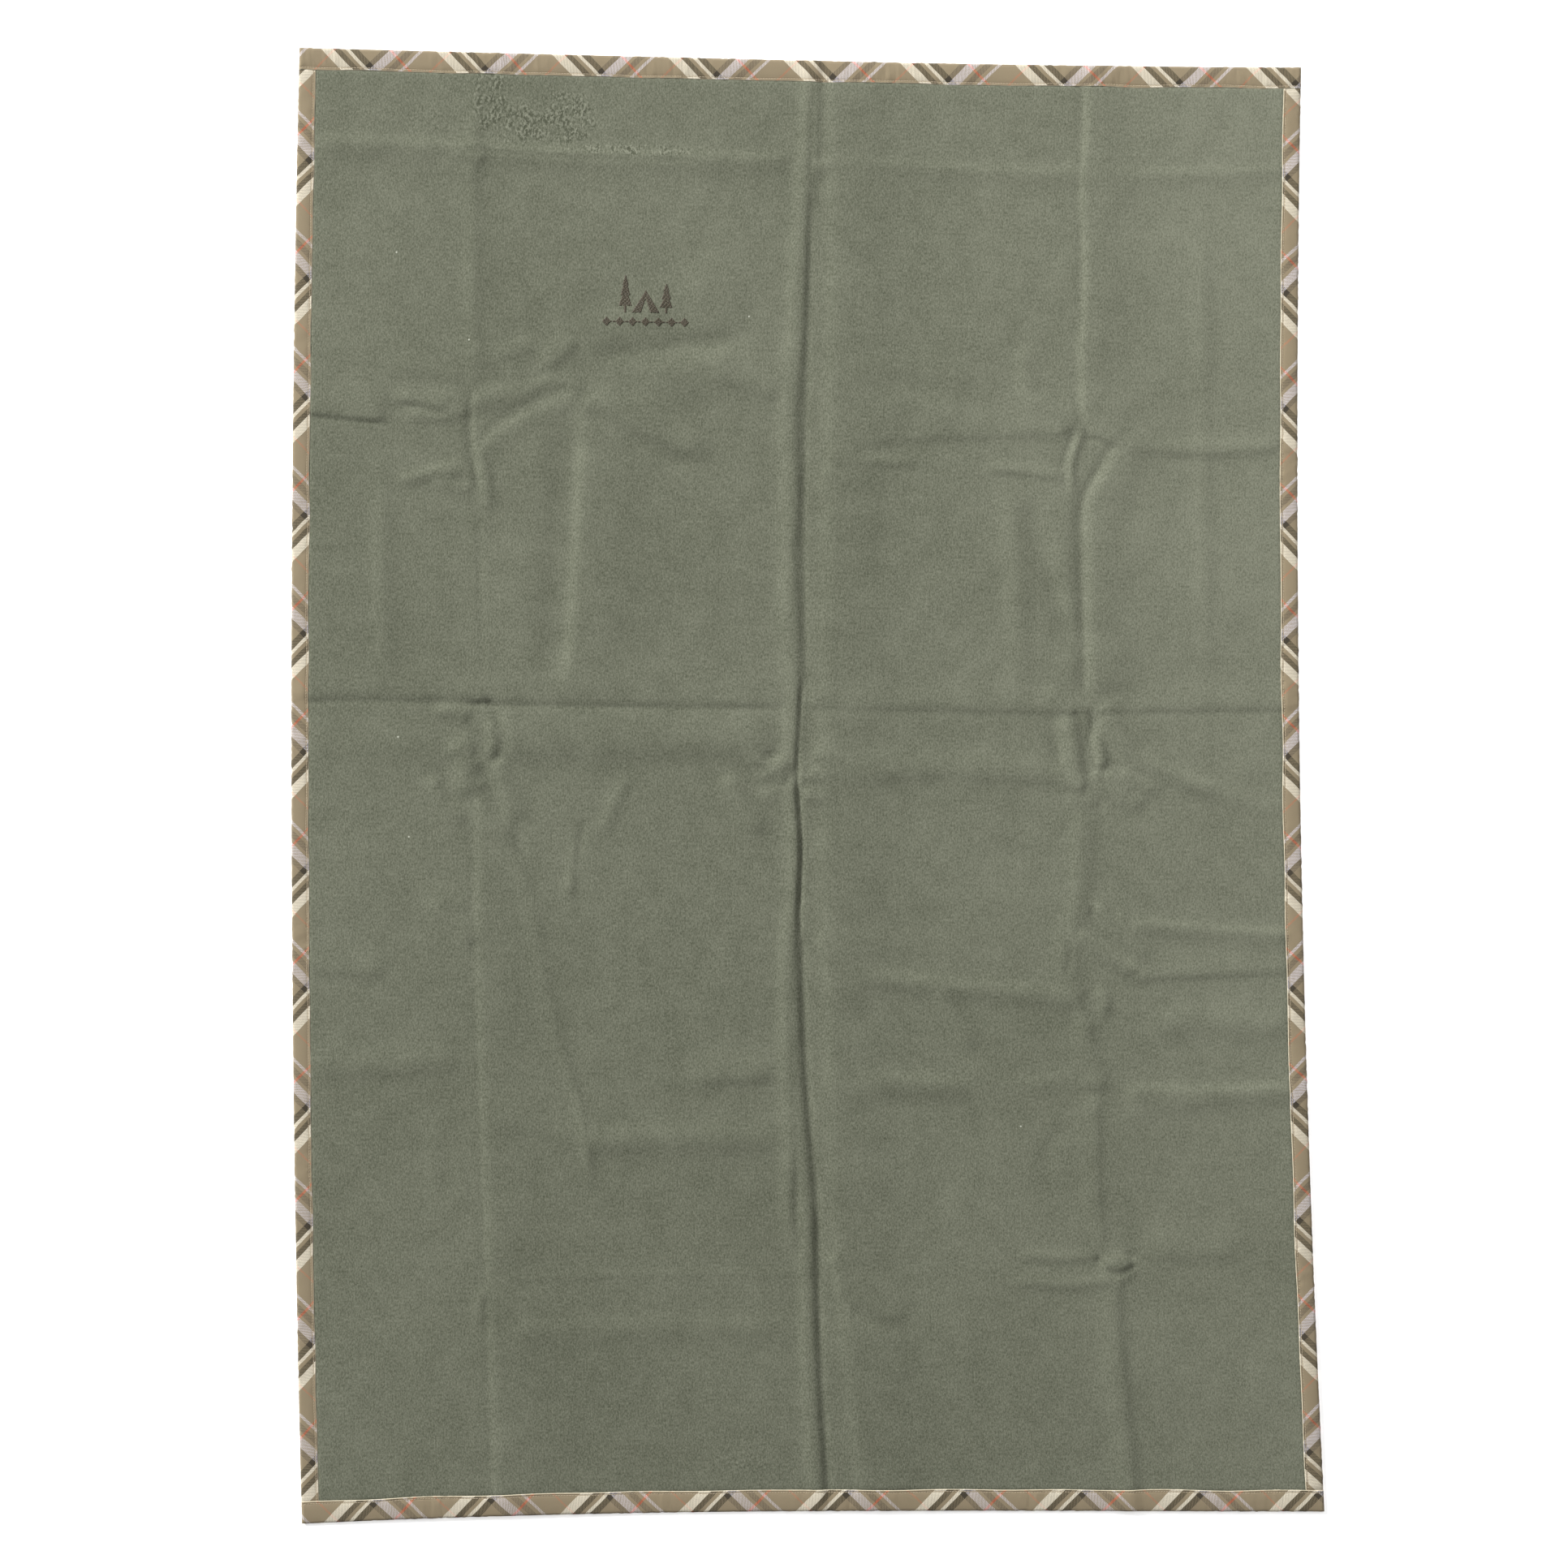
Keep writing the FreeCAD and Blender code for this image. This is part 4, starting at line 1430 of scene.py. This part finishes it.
@dataclass
class Binding:
    """A strip of plaid tape folded over one edge, with its raw edges turned under."""

    cut: Cut
    lie: Lie
    fold: Fold
    side: Side
    cloth: float = 0.35
    turn_under: float = 7.0
    stitch: float = 2.7
    wander: float = 0.45
    tuck: float = 5.0
    wander_lengths: tuple[float, float] = (60.0, 190.0)
    wander_count: int = 4
    ripple_lengths: tuple[float, ...] = (5.2, 6.9, 8.6, 11.5, 15.5, 23.0)
    ripple_rise: float = 0.085
    ripple_growth: float = 0.4
    steepest_slant: float = 1.1
    dimple: float = 0.16
    dimple_reach: float = 0.8
    under_ripple: float = 0.35
    edge_ripple: float = 1.1
    closed_end: float = 2.6
    tucked_thin: float = 0.42
    full_turn: ClassVar[float] = 6.3

    def __post_init__(self) -> None:
        """Measure the strip and choose its ripples, the same ones each time."""
        self.width = self.cut.tape(self.side)
        if self.side.across_width:
            self.half_run = self.cut.half_width
        else:
            self.half_run = self.cut.half_length - self.cut.end_tape + self.tuck
        dice = np.random.default_rng(list(Side).index(self.side) + 5)
        self.wander_waves = [
            (dice.uniform(*self.wander_lengths), dice.uniform(0, self.full_turn))
            for _ in range(self.wander_count)
        ]
        slant = self.steepest_slant
        self.ripple_waves = [
            (length, dice.uniform(0, self.full_turn), dice.uniform(-slant, slant))
            for length in self.ripple_lengths
        ]

    def place(self, run: np.ndarray, depth: np.ndarray, level: np.ndarray) -> np.ndarray:
        """Turn places on the strip into places on the flat blanket.

        Args:
            run: Places along the strip, from its middle.
            depth: Places in from the blanket's edge.
            level: Heights.

        Returns:
            Points, one row each.
        """
        if self.side is Side.LEFT:
            return np.stack([depth - self.cut.half_width, run, level], axis=-1)
        if self.side is Side.RIGHT:
            return np.stack([self.cut.half_width - depth, run, level], axis=-1)
        if self.side is Side.TOP:
            return np.stack([run, self.cut.half_length - depth, level], axis=-1)
        return np.stack([run, depth - self.cut.half_length, level], axis=-1)

    def inner_edge(self, run: np.ndarray) -> np.ndarray:
        """How far the inner edge strays from its line."""
        waves = [np.sin(2 * math.pi * run / length + phase) for length, phase in self.wander_waves]
        return self.wander * sum(waves) / 2

    def ripple(self, run: np.ndarray, depth: np.ndarray) -> np.ndarray:
        """Small slanting puckers that sewing leaves in tape cut on the slant.

        Args:
            run: Places along the strip.
            depth: Places in from the blanket's edge.

        Returns:
            Their height in millimetres.
        """
        total = np.zeros_like(run + depth)
        for length, phase, slant in self.ripple_waves:
            wave = np.sin(2 * math.pi * (run + slant * depth) / length + phase)
            total = total + wave * (length / 12) ** self.ripple_growth
        envelope = 0.6 + 0.4 * np.sin(run / 31.0 + self.ripple_waves[0][1])
        return self.ripple_rise * total * envelope

    def folded_path(self) -> np.ndarray:
        """The tape's middle line, seen end on, from one turned-under edge to the other.

        Returns:
            Depth and level of each point.
        """
        top, half = self.cut.bound_thick, self.cloth / 2
        inner = self.width
        turned = inner - self.turn_under
        second = half + self.cloth * 1.12
        upper = [
            (turned, top - second),
            (inner - 2.4, top - second - 0.25),
            (inner - 0.45, top - second + 0.02),
            (inner - 0.1, top - 0.30),
            (inner - 0.35, top - half + 0.16),
            (inner - 1.2, top - half + 0.16),
            (inner - 1.9, top - half - 0.06),
            (inner - 2.4, top - half - 0.30),
            (inner - 2.9, top - half - 0.06),
            (inner - 4.0, top - half + 0.14),
            (inner * 0.58, top - half + 0.26),
            (inner * 0.36, top - half + 0.20),
            (2.6, top - half),
            (1.1, top - half - 0.32),
            (0.35, top - half - 0.95),
        ]
        lower = [(depth, max(top - level, half)) for depth, level in reversed(upper)]
        return np.array(upper + [(half * 0.6, top / 2)] + lower)

    def skin(self) -> tuple[np.ndarray, np.ndarray]:
        """The folded tape's section with its thickness, and its place across the cloth.

        Returns:
            Depth and level of each point round the section, and the map's place of each.
        """
        line = self.folded_path()
        tangent = np.gradient(line, axis=0)
        tangent /= np.linalg.norm(tangent, axis=1, keepdims=True)
        normal = np.stack([-tangent[:, 1], tangent[:, 0]], axis=1) * self.cloth / 2
        steps = np.linalg.norm(np.diff(line, axis=0), axis=1)
        travelled = np.concatenate([[0.0], np.cumsum(steps)])
        section = np.concatenate([line + normal, (line - normal)[::-1]])
        return section, np.concatenate([travelled, travelled[::-1]])

    def build(self, material: bpy.types.Material) -> bpy.types.Object:
        """Make the strip and dress it; a strip on a side rides with its half.

        Args:
            material: The plaid finish.

        Returns:
            The strip.
        """
        section, across = self.skin()
        stations = 2 * round(self.half_run / (self.stitch / 2)) + 1
        run = np.linspace(-self.half_run, self.half_run, stations)
        depth, level = np.meshgrid(section[:, 0], run)[0], np.tile(section[:, 1], (stations, 1))
        along = np.tile(run[:, None], (1, len(section)))
        level, depth = self.shaped(along, depth, level)
        points = self.place(along, depth, level)
        laid = self.lie.lay(points.reshape(-1, 3)).reshape(points.shape)
        piece = Tube(laid, np.append(across, across[0]), run).build(f"tape_{self.side.value}")
        stand_for(piece, material, self.nodes("binding"))
        self.fold.carry(piece, self.side)
        return piece

    def shaped(self, run: np.ndarray, depth: np.ndarray, level: np.ndarray) -> tuple[np.ndarray, np.ndarray]:
        """Add stitch dimples, ripples, a straying inner edge and closed ends.

        Args:
            run: Places along the strip.
            depth: Places in from the blanket's edge.
            level: Heights.

        Returns:
            The new levels and depths.
        """
        middle = self.cut.bound_thick / 2
        above = (level - middle) / middle
        seam = self.width - self.cut.seam_inset
        near_seam = np.exp(-(((depth - seam) / self.dimple_reach) ** 2))
        holes = 0.5 + 0.5 * np.cos(2 * math.pi * run / self.stitch)
        level = level - np.sign(above) * near_seam * holes * self.dimple
        inner = smoothstep(self.width - self.turn_under, self.width, depth)
        strength = np.where(above > 0, above, self.under_ripple * above) * (1.0 - 0.35 * near_seam)
        level = level + self.ripple(run, depth) * strength
        depth = depth + self.inner_edge(run) * inner
        edge_wave = self.edge_ripple * self.ripple(run, np.zeros_like(run))
        depth = depth + edge_wave * (1 - smoothstep(0.0, self.width * 0.7, depth))
        from_end = self.half_run - np.abs(run)
        if self.side.across_width:
            from_closed = 1 - np.clip(from_end / self.closed_end, 0, 1)
            closed = np.sqrt(np.clip(1 - from_closed**2, 0.04, 1))
        else:
            free = smoothstep(self.tuck - 1.0, self.tuck + 2.5, from_end)
            closed = 1.0 - self.tucked_thin * (1 - free)
        return middle + (level - middle) * closed, depth

    def nodes(self, kind: str) -> tuple[str, ...]:
        """Name the CAD nodes of a kind on this edge.

        Args:
            kind: How the nodes' names begin.

        Returns:
            Their names.
        """
        if self.side.across_width:
            return (f"{kind}_{self.side.value}_left", f"{kind}_{self.side.value}_right")
        return (f"{kind}_{self.side.value}",)


@dataclass
class Seam:
    """The lockstitch that holds one binding: a needle thread above and a bobbin thread below."""

    binding: Binding
    radius: float = 0.25
    end_gap: float = 2.0
    lean: float = 0.16
    groove: float = 0.12
    slack: float = 0.1
    knots: ClassVar[Points] = (
        (0.0, -1.25), (0.1, -0.42), (0.22, 0.02), (0.5, 0.14), (0.78, 0.02), (0.9, -0.42)
    )

    def path(self, upper: bool) -> np.ndarray:
        """The thread's line, down into each hole and up over each stitch.

        Args:
            upper: Whether it is the needle thread.

        Returns:
            Points on the flat blanket.
        """
        strip = self.binding
        half = strip.half_run - self.end_gap
        stitches = int(2 * half / strip.stitch)
        start = -stitches * strip.stitch / 2
        share, rise = np.array(self.knots).T
        run = (start + strip.stitch * (np.arange(stitches)[:, None] + share)).ravel()
        lean = np.tile(self.lean * (share - 0.5), stitches)
        level = np.tile(rise, stitches) + strip.cut.bound_thick - self.groove
        depth = strip.width - strip.cut.seam_inset + strip.inner_edge(run) + lean
        level = level + strip.ripple(run, depth) * (0.6 if upper else 0.2)
        if not upper:
            level = strip.cut.bound_thick - level + self.slack
        return strip.place(run, depth, level)

    def build(self, material: bpy.types.Material) -> list[bpy.types.Object]:
        """Make both threads and dress them; threads on a side ride with its half.

        Args:
            material: The thread's finish.

        Returns:
            The two threads.
        """
        made = []
        for kind, upper in (("needle_thread", True), ("bobbin_thread", False)):
            tube = thread_tube(self.path(upper), self.radius, self.binding.lie)
            piece = tube.build(f"{kind}_stitches_{self.binding.side.value}")
            stand_for(piece, material, self.binding.nodes(kind))
            self.binding.fold.carry(piece, self.binding.side)
            made.append(piece)
        return made


Spans = list[tuple[float, float, float]]


@dataclass
class Emblem:
    """A tent between two pines over a row of diamonds, filled with short stitches."""

    lie: Lie
    row_pitch: float = 0.46
    stitch: float = 4.0
    radius: float = 0.29
    pine_tiers: int = 3
    bough_taper: float = 0.25
    notch: float = 0.45
    stem_share: float = 0.18
    stem_half: float = 1.2
    door_half: float = 4.5
    door_height: float = 13.0
    diamonds: int = 7
    line_half: float = 0.3
    shortest_row: float = 0.7
    hole_level: float = -0.55
    knots: ClassVar[Points] = ((0.02, -0.55), (0.2, 0.16), (0.5, 0.26), (0.8, 0.16))

    def rows(self, low: float, high: float) -> np.ndarray:
        """Levels of the rows of stitches between two levels."""
        return np.arange(low + self.row_pitch / 2, high, self.row_pitch)

    def fill(self, spans: Spans) -> np.ndarray:
        """Fill a shape with rows of short stitches, brick fashion.

        Args:
            spans: Each row's level and its two ends.

        Returns:
            The thread's line, as offsets above the pile.
        """
        points = []
        for number, (level, start, end) in enumerate(spans):
            if abs(end - start) < self.shortest_row:
                continue
            if number % 2:
                start, end = end, start
            way = math.copysign(1.0, end - start)
            first = self.stitch * (0.35 + 0.3 * (number % 3))
            inner = np.arange(first, abs(end - start) - 1.0, self.stitch)
            holes = [start, *(start + way * inner), end]
            for near, far in zip(holes[:-1], holes[1:]):
                for share, rise in self.knots:
                    points.append((near + (far - near) * share, level, rise))
            points.append((end, level, self.hole_level))
        return np.array(points)

    def pine_spans(self, low: np.ndarray, high: np.ndarray) -> Spans:
        """Rows across a pine on its stem.

        Args:
            low: Lowest corner of the figure's box.
            high: Highest corner of the figure's box.

        Returns:
            Each row's level and its two ends.
        """
        middle, half, height = (low[0] + high[0]) / 2, (high[0] - low[0]) / 2, high[1] - low[1]
        spans = []
        for level in self.rows(low[1], high[1]):
            share = (level - low[1]) / height
            if share < self.stem_share:
                reach = self.stem_half
            else:
                climb = (share - self.stem_share) / (1 - self.stem_share) * self.pine_tiers
                tier = min(int(climb), self.pine_tiers - 1)
                widest = half * (1 - self.bough_taper * tier)
                narrowest = widest * self.notch if tier < self.pine_tiers - 1 else 0.0
                reach = widest + (narrowest - widest) * (climb - tier)
            spans.append((level, middle - reach, middle + reach))
        return spans

    def tent_spans(self, low: np.ndarray, high: np.ndarray) -> list[Spans]:
        """Rows across a tent with an open door.

        Args:
            low: Lowest corner of the figure's box.
            high: Highest corner of the figure's box.

        Returns:
            Rows of its left side, its right side and its peak above the door.
        """
        middle, half, height = (low[0] + high[0]) / 2, (high[0] - low[0]) / 2, high[1] - low[1]
        left, right, peak = [], [], []
        for level in self.rows(low[1], high[1]):
            rise = level - low[1]
            wide = half * (1 - rise / height)
            door = self.door_half * (1 - rise / self.door_height)
            if door > 0:
                left.append((level, middle - wide, middle - door))
                right.append((level, middle + door, middle + wide))
            else:
                peak.append((level, middle - wide, middle + wide))
        return [left, right, peak]

    def diamond_spans(self, low: np.ndarray, high: np.ndarray) -> list[Spans]:
        """Rows across a row of diamonds.

        Args:
            low: Lowest corner of the figure's box.
            high: Highest corner of the figure's box.

        Returns:
            The two lines that join the diamonds, then the rows of each diamond.
        """
        height = high[1] - low[1]
        half = height / 2
        middle = (low[1] + high[1]) / 2
        centres = np.linspace(low[0] + half, high[0] - half, self.diamonds)
        lines = (middle - self.line_half, middle + self.line_half)
        parts = [[(level, low[0] + half, high[0] - half) for level in lines]]
        for centre in centres:
            levels = self.rows(low[1], high[1])
            reaches = half - np.abs(levels - middle)
            parts.append(list(zip(levels, centre - reaches, centre + reaches)))
        return parts

    def build(self, material: bpy.types.Material, fold: Fold) -> list[bpy.types.Object]:
        """Make the figures and the row, dress them and let them ride.

        Args:
            material: The embroidery thread's finish.
            fold: The centre fold.

        Returns:
            The emblem's pieces.
        """
        made = []
        shapes: dict[str, Callable[[np.ndarray, np.ndarray], list[Spans]]] = {
            "emblem_tent": self.tent_spans,
            "emblem_tall_pine": lambda low, high: [self.pine_spans(low, high)],
            "emblem_small_pine": lambda low, high: [self.pine_spans(low, high)],
            "emblem_diamond_row": self.diamond_spans,
        }
        for node, spans_of in shapes.items():
            low, high = box_mm(node)
            path = np.concatenate([self.fill(spans) for spans in spans_of(low, high)])
            path[:, 2] += low[2]
            piece = thread_tube(path, self.radius, self.lie).build(f"{node}_stitches")
            stand_for(piece, material, (node,))
            fold.carry(piece, Side.LEFT)
            made.append(piece)
        return made


@dataclass
class Backing:
    """The patch of non-woven backing under the emblem, torn off close to the stitches."""

    lie: Lie
    columns: int = 60
    rows: int = 40
    ragged: float = 0.9

    def build(self, fold: Fold) -> bpy.types.Object:
        """Make the patch, dress it and let it ride.

        Args:
            fold: The centre fold.

        Returns:
            The patch.
        """
        low, high = box_mm("emblem_backing")
        bm, column, row = grid(self.columns, self.rows)
        u = column / (self.columns - 1) * 2 - 1
        v = row / (self.rows - 1) * 2 - 1
        centre, reach = (low + high) / 2, (high - low) / 2
        x = centre[0] + u * (reach[0] - self.ragged * (1 + np.sin(v * 9.0) * 0.6) * np.abs(u) ** 6)
        y = centre[1] + v * (reach[1] - self.ragged * (1 + np.sin(u * 11.0) * 0.6) * np.abs(v) ** 6)
        for vert, place_x, place_y in zip(bm.verts, x, y):
            vert.co = (place_x, place_y, 0.0)
        bmesh.ops.solidify(bm, geom=bm.faces[:], thickness=reach[2] * 2)
        bmesh.ops.recalc_face_normals(bm, faces=bm.faces)
        piece = finish_mesh(bm, "emblem_backing_patch")
        flat = vertex_places(piece.data)
        flat[:, 2] -= flat[:, 2].min() + reach[2]
        lay_mesh(piece.data, flat, self.lie)
        stand_for(piece, BackingFinish().make(), ("emblem_backing",))
        fold.carry(piece, Side.LEFT)
        return piece


# ------------------------------------------------------------------ the studio


@dataclass(frozen=True)
class Lamp:
    """A soft square lamp that looks at the blanket's middle, in metres and watts."""

    name: str
    place: tuple[float, float, float]
    size: float
    power: float

    def hang(self) -> None:
        """Add the lamp to the scene."""
        lamp = bpy.data.lights.new(self.name, "AREA")
        lamp.shape = "SQUARE"
        lamp.size = self.size
        lamp.energy = self.power
        holder = bpy.data.objects.new(self.name, lamp)
        holder.location = self.place
        holder.rotation_euler = (-Vector(self.place)).to_track_quat("-Z", "Y").to_euler()
        bpy.context.scene.collection.objects.link(holder)


@dataclass(frozen=True)
class Studio:
    """A pale floor, soft lights and a camera straight above the blanket."""

    view_extent: float = 1.5195
    lens: float = 85.0
    aim: tuple[float, float] = (-0.0134, 0.0016)
    floor_half: float = 40.0
    floor_gap: float = 0.0002
    sky: float = 0.1
    lamps: tuple[Lamp, ...] = (
        Lamp("key", (-8.3, 7.0, 5.0), 3.2, 2960.0),
        Lamp("overhead", (1.7, 1.1, 2.3), 1.6, 40.0),
    )

    def floor(self) -> bpy.types.Object:
        """Lay the floor just below the blanket.

        Returns:
            The floor.
        """
        bm = bmesh.new()
        bmesh.ops.create_grid(bm, x_segments=1, y_segments=1, size=self.floor_half)
        bmesh.ops.translate(bm, verts=bm.verts, vec=(0.0, 0.0, CAD_BOX[0].z - self.floor_gap))
        floor = finish_mesh(bm, "floor")
        floor.data.materials.append(FloorFinish().make())
        return floor

    def camera(self) -> None:
        """Stand the camera above the blanket, looking straight down."""
        data = bpy.data.cameras.new("camera")
        data.lens = self.lens
        holder = bpy.data.objects.new("camera", data)
        half_view = math.atan(data.sensor_width / 2 / self.lens)
        height = self.view_extent / 2 / math.tan(half_view)
        holder.location = (*self.aim, height)
        bpy.context.scene.collection.objects.link(holder)
        bpy.context.scene.camera = holder

    def build(self) -> bpy.types.Object:
        """Set up the floor, the lights and the camera.

        Returns:
            The floor.
        """
        scene = bpy.context.scene
        scene.view_settings.view_transform = "Standard"
        world = bpy.data.worlds.new("studio")
        world.use_nodes = True
        sky = world.node_tree.nodes["Background"]
        sky.inputs["Color"].default_value = (1.0, 1.0, 1.0, 1.0)
        sky.inputs["Strength"].default_value = self.sky
        scene.world = world
        for lamp in self.lamps:
            lamp.hang()
        self.camera()
        return self.floor()


def build_blanket() -> None:
    """Build every piece of the blanket.
    """
    cut = Cut.from_frame()
    row, pine = box_mm("emblem_diamond_row"), box_mm("emblem_tall_pine")
    lie = Lie(cut, (row[0], np.array([row[1][0], *pine[1][1:]])))
    fold = Fold()
    panel = Fleece(cut, lie, fold).build()
    plaid = PlaidFinish().make("plaid_binding")
    seam_thread = ThreadFinish("seam_thread", dye(164, 144, 116), dye(218, 204, 176)).make()
    emblem_thread = ThreadFinish("emblem_thread", dye(46, 40, 27), dye(88, 78, 56), 0.9, 0.6).make()
    on_panel = []
    for side in Side:
        strip = Binding(cut, lie, fold, side)
        piece = strip.build(plaid)
        cut_width = 2 * (strip.width + strip.turn_under) + cut.bound_thick
        flat = (cut_width * MM, 2 * strip.half_run * MM)
        threads = Seam(strip).build(seam_thread)
        on_panel += [piece, *threads]
    on_panel += Emblem(lie).build(emblem_thread, fold)
    backing = Backing(lie).build(fold)
    on_panel.append(backing)
    flat = (2 * cut.half_width * MM, 2 * cut.half_length * MM)


def main() -> None:
    """Build the studio and the blanket."""
    logging.basicConfig(level=logging.INFO, format="%(name)s: %(message)s")
    floor = Studio().build()
    build_blanket()


if __name__ == "__main__":
    main()
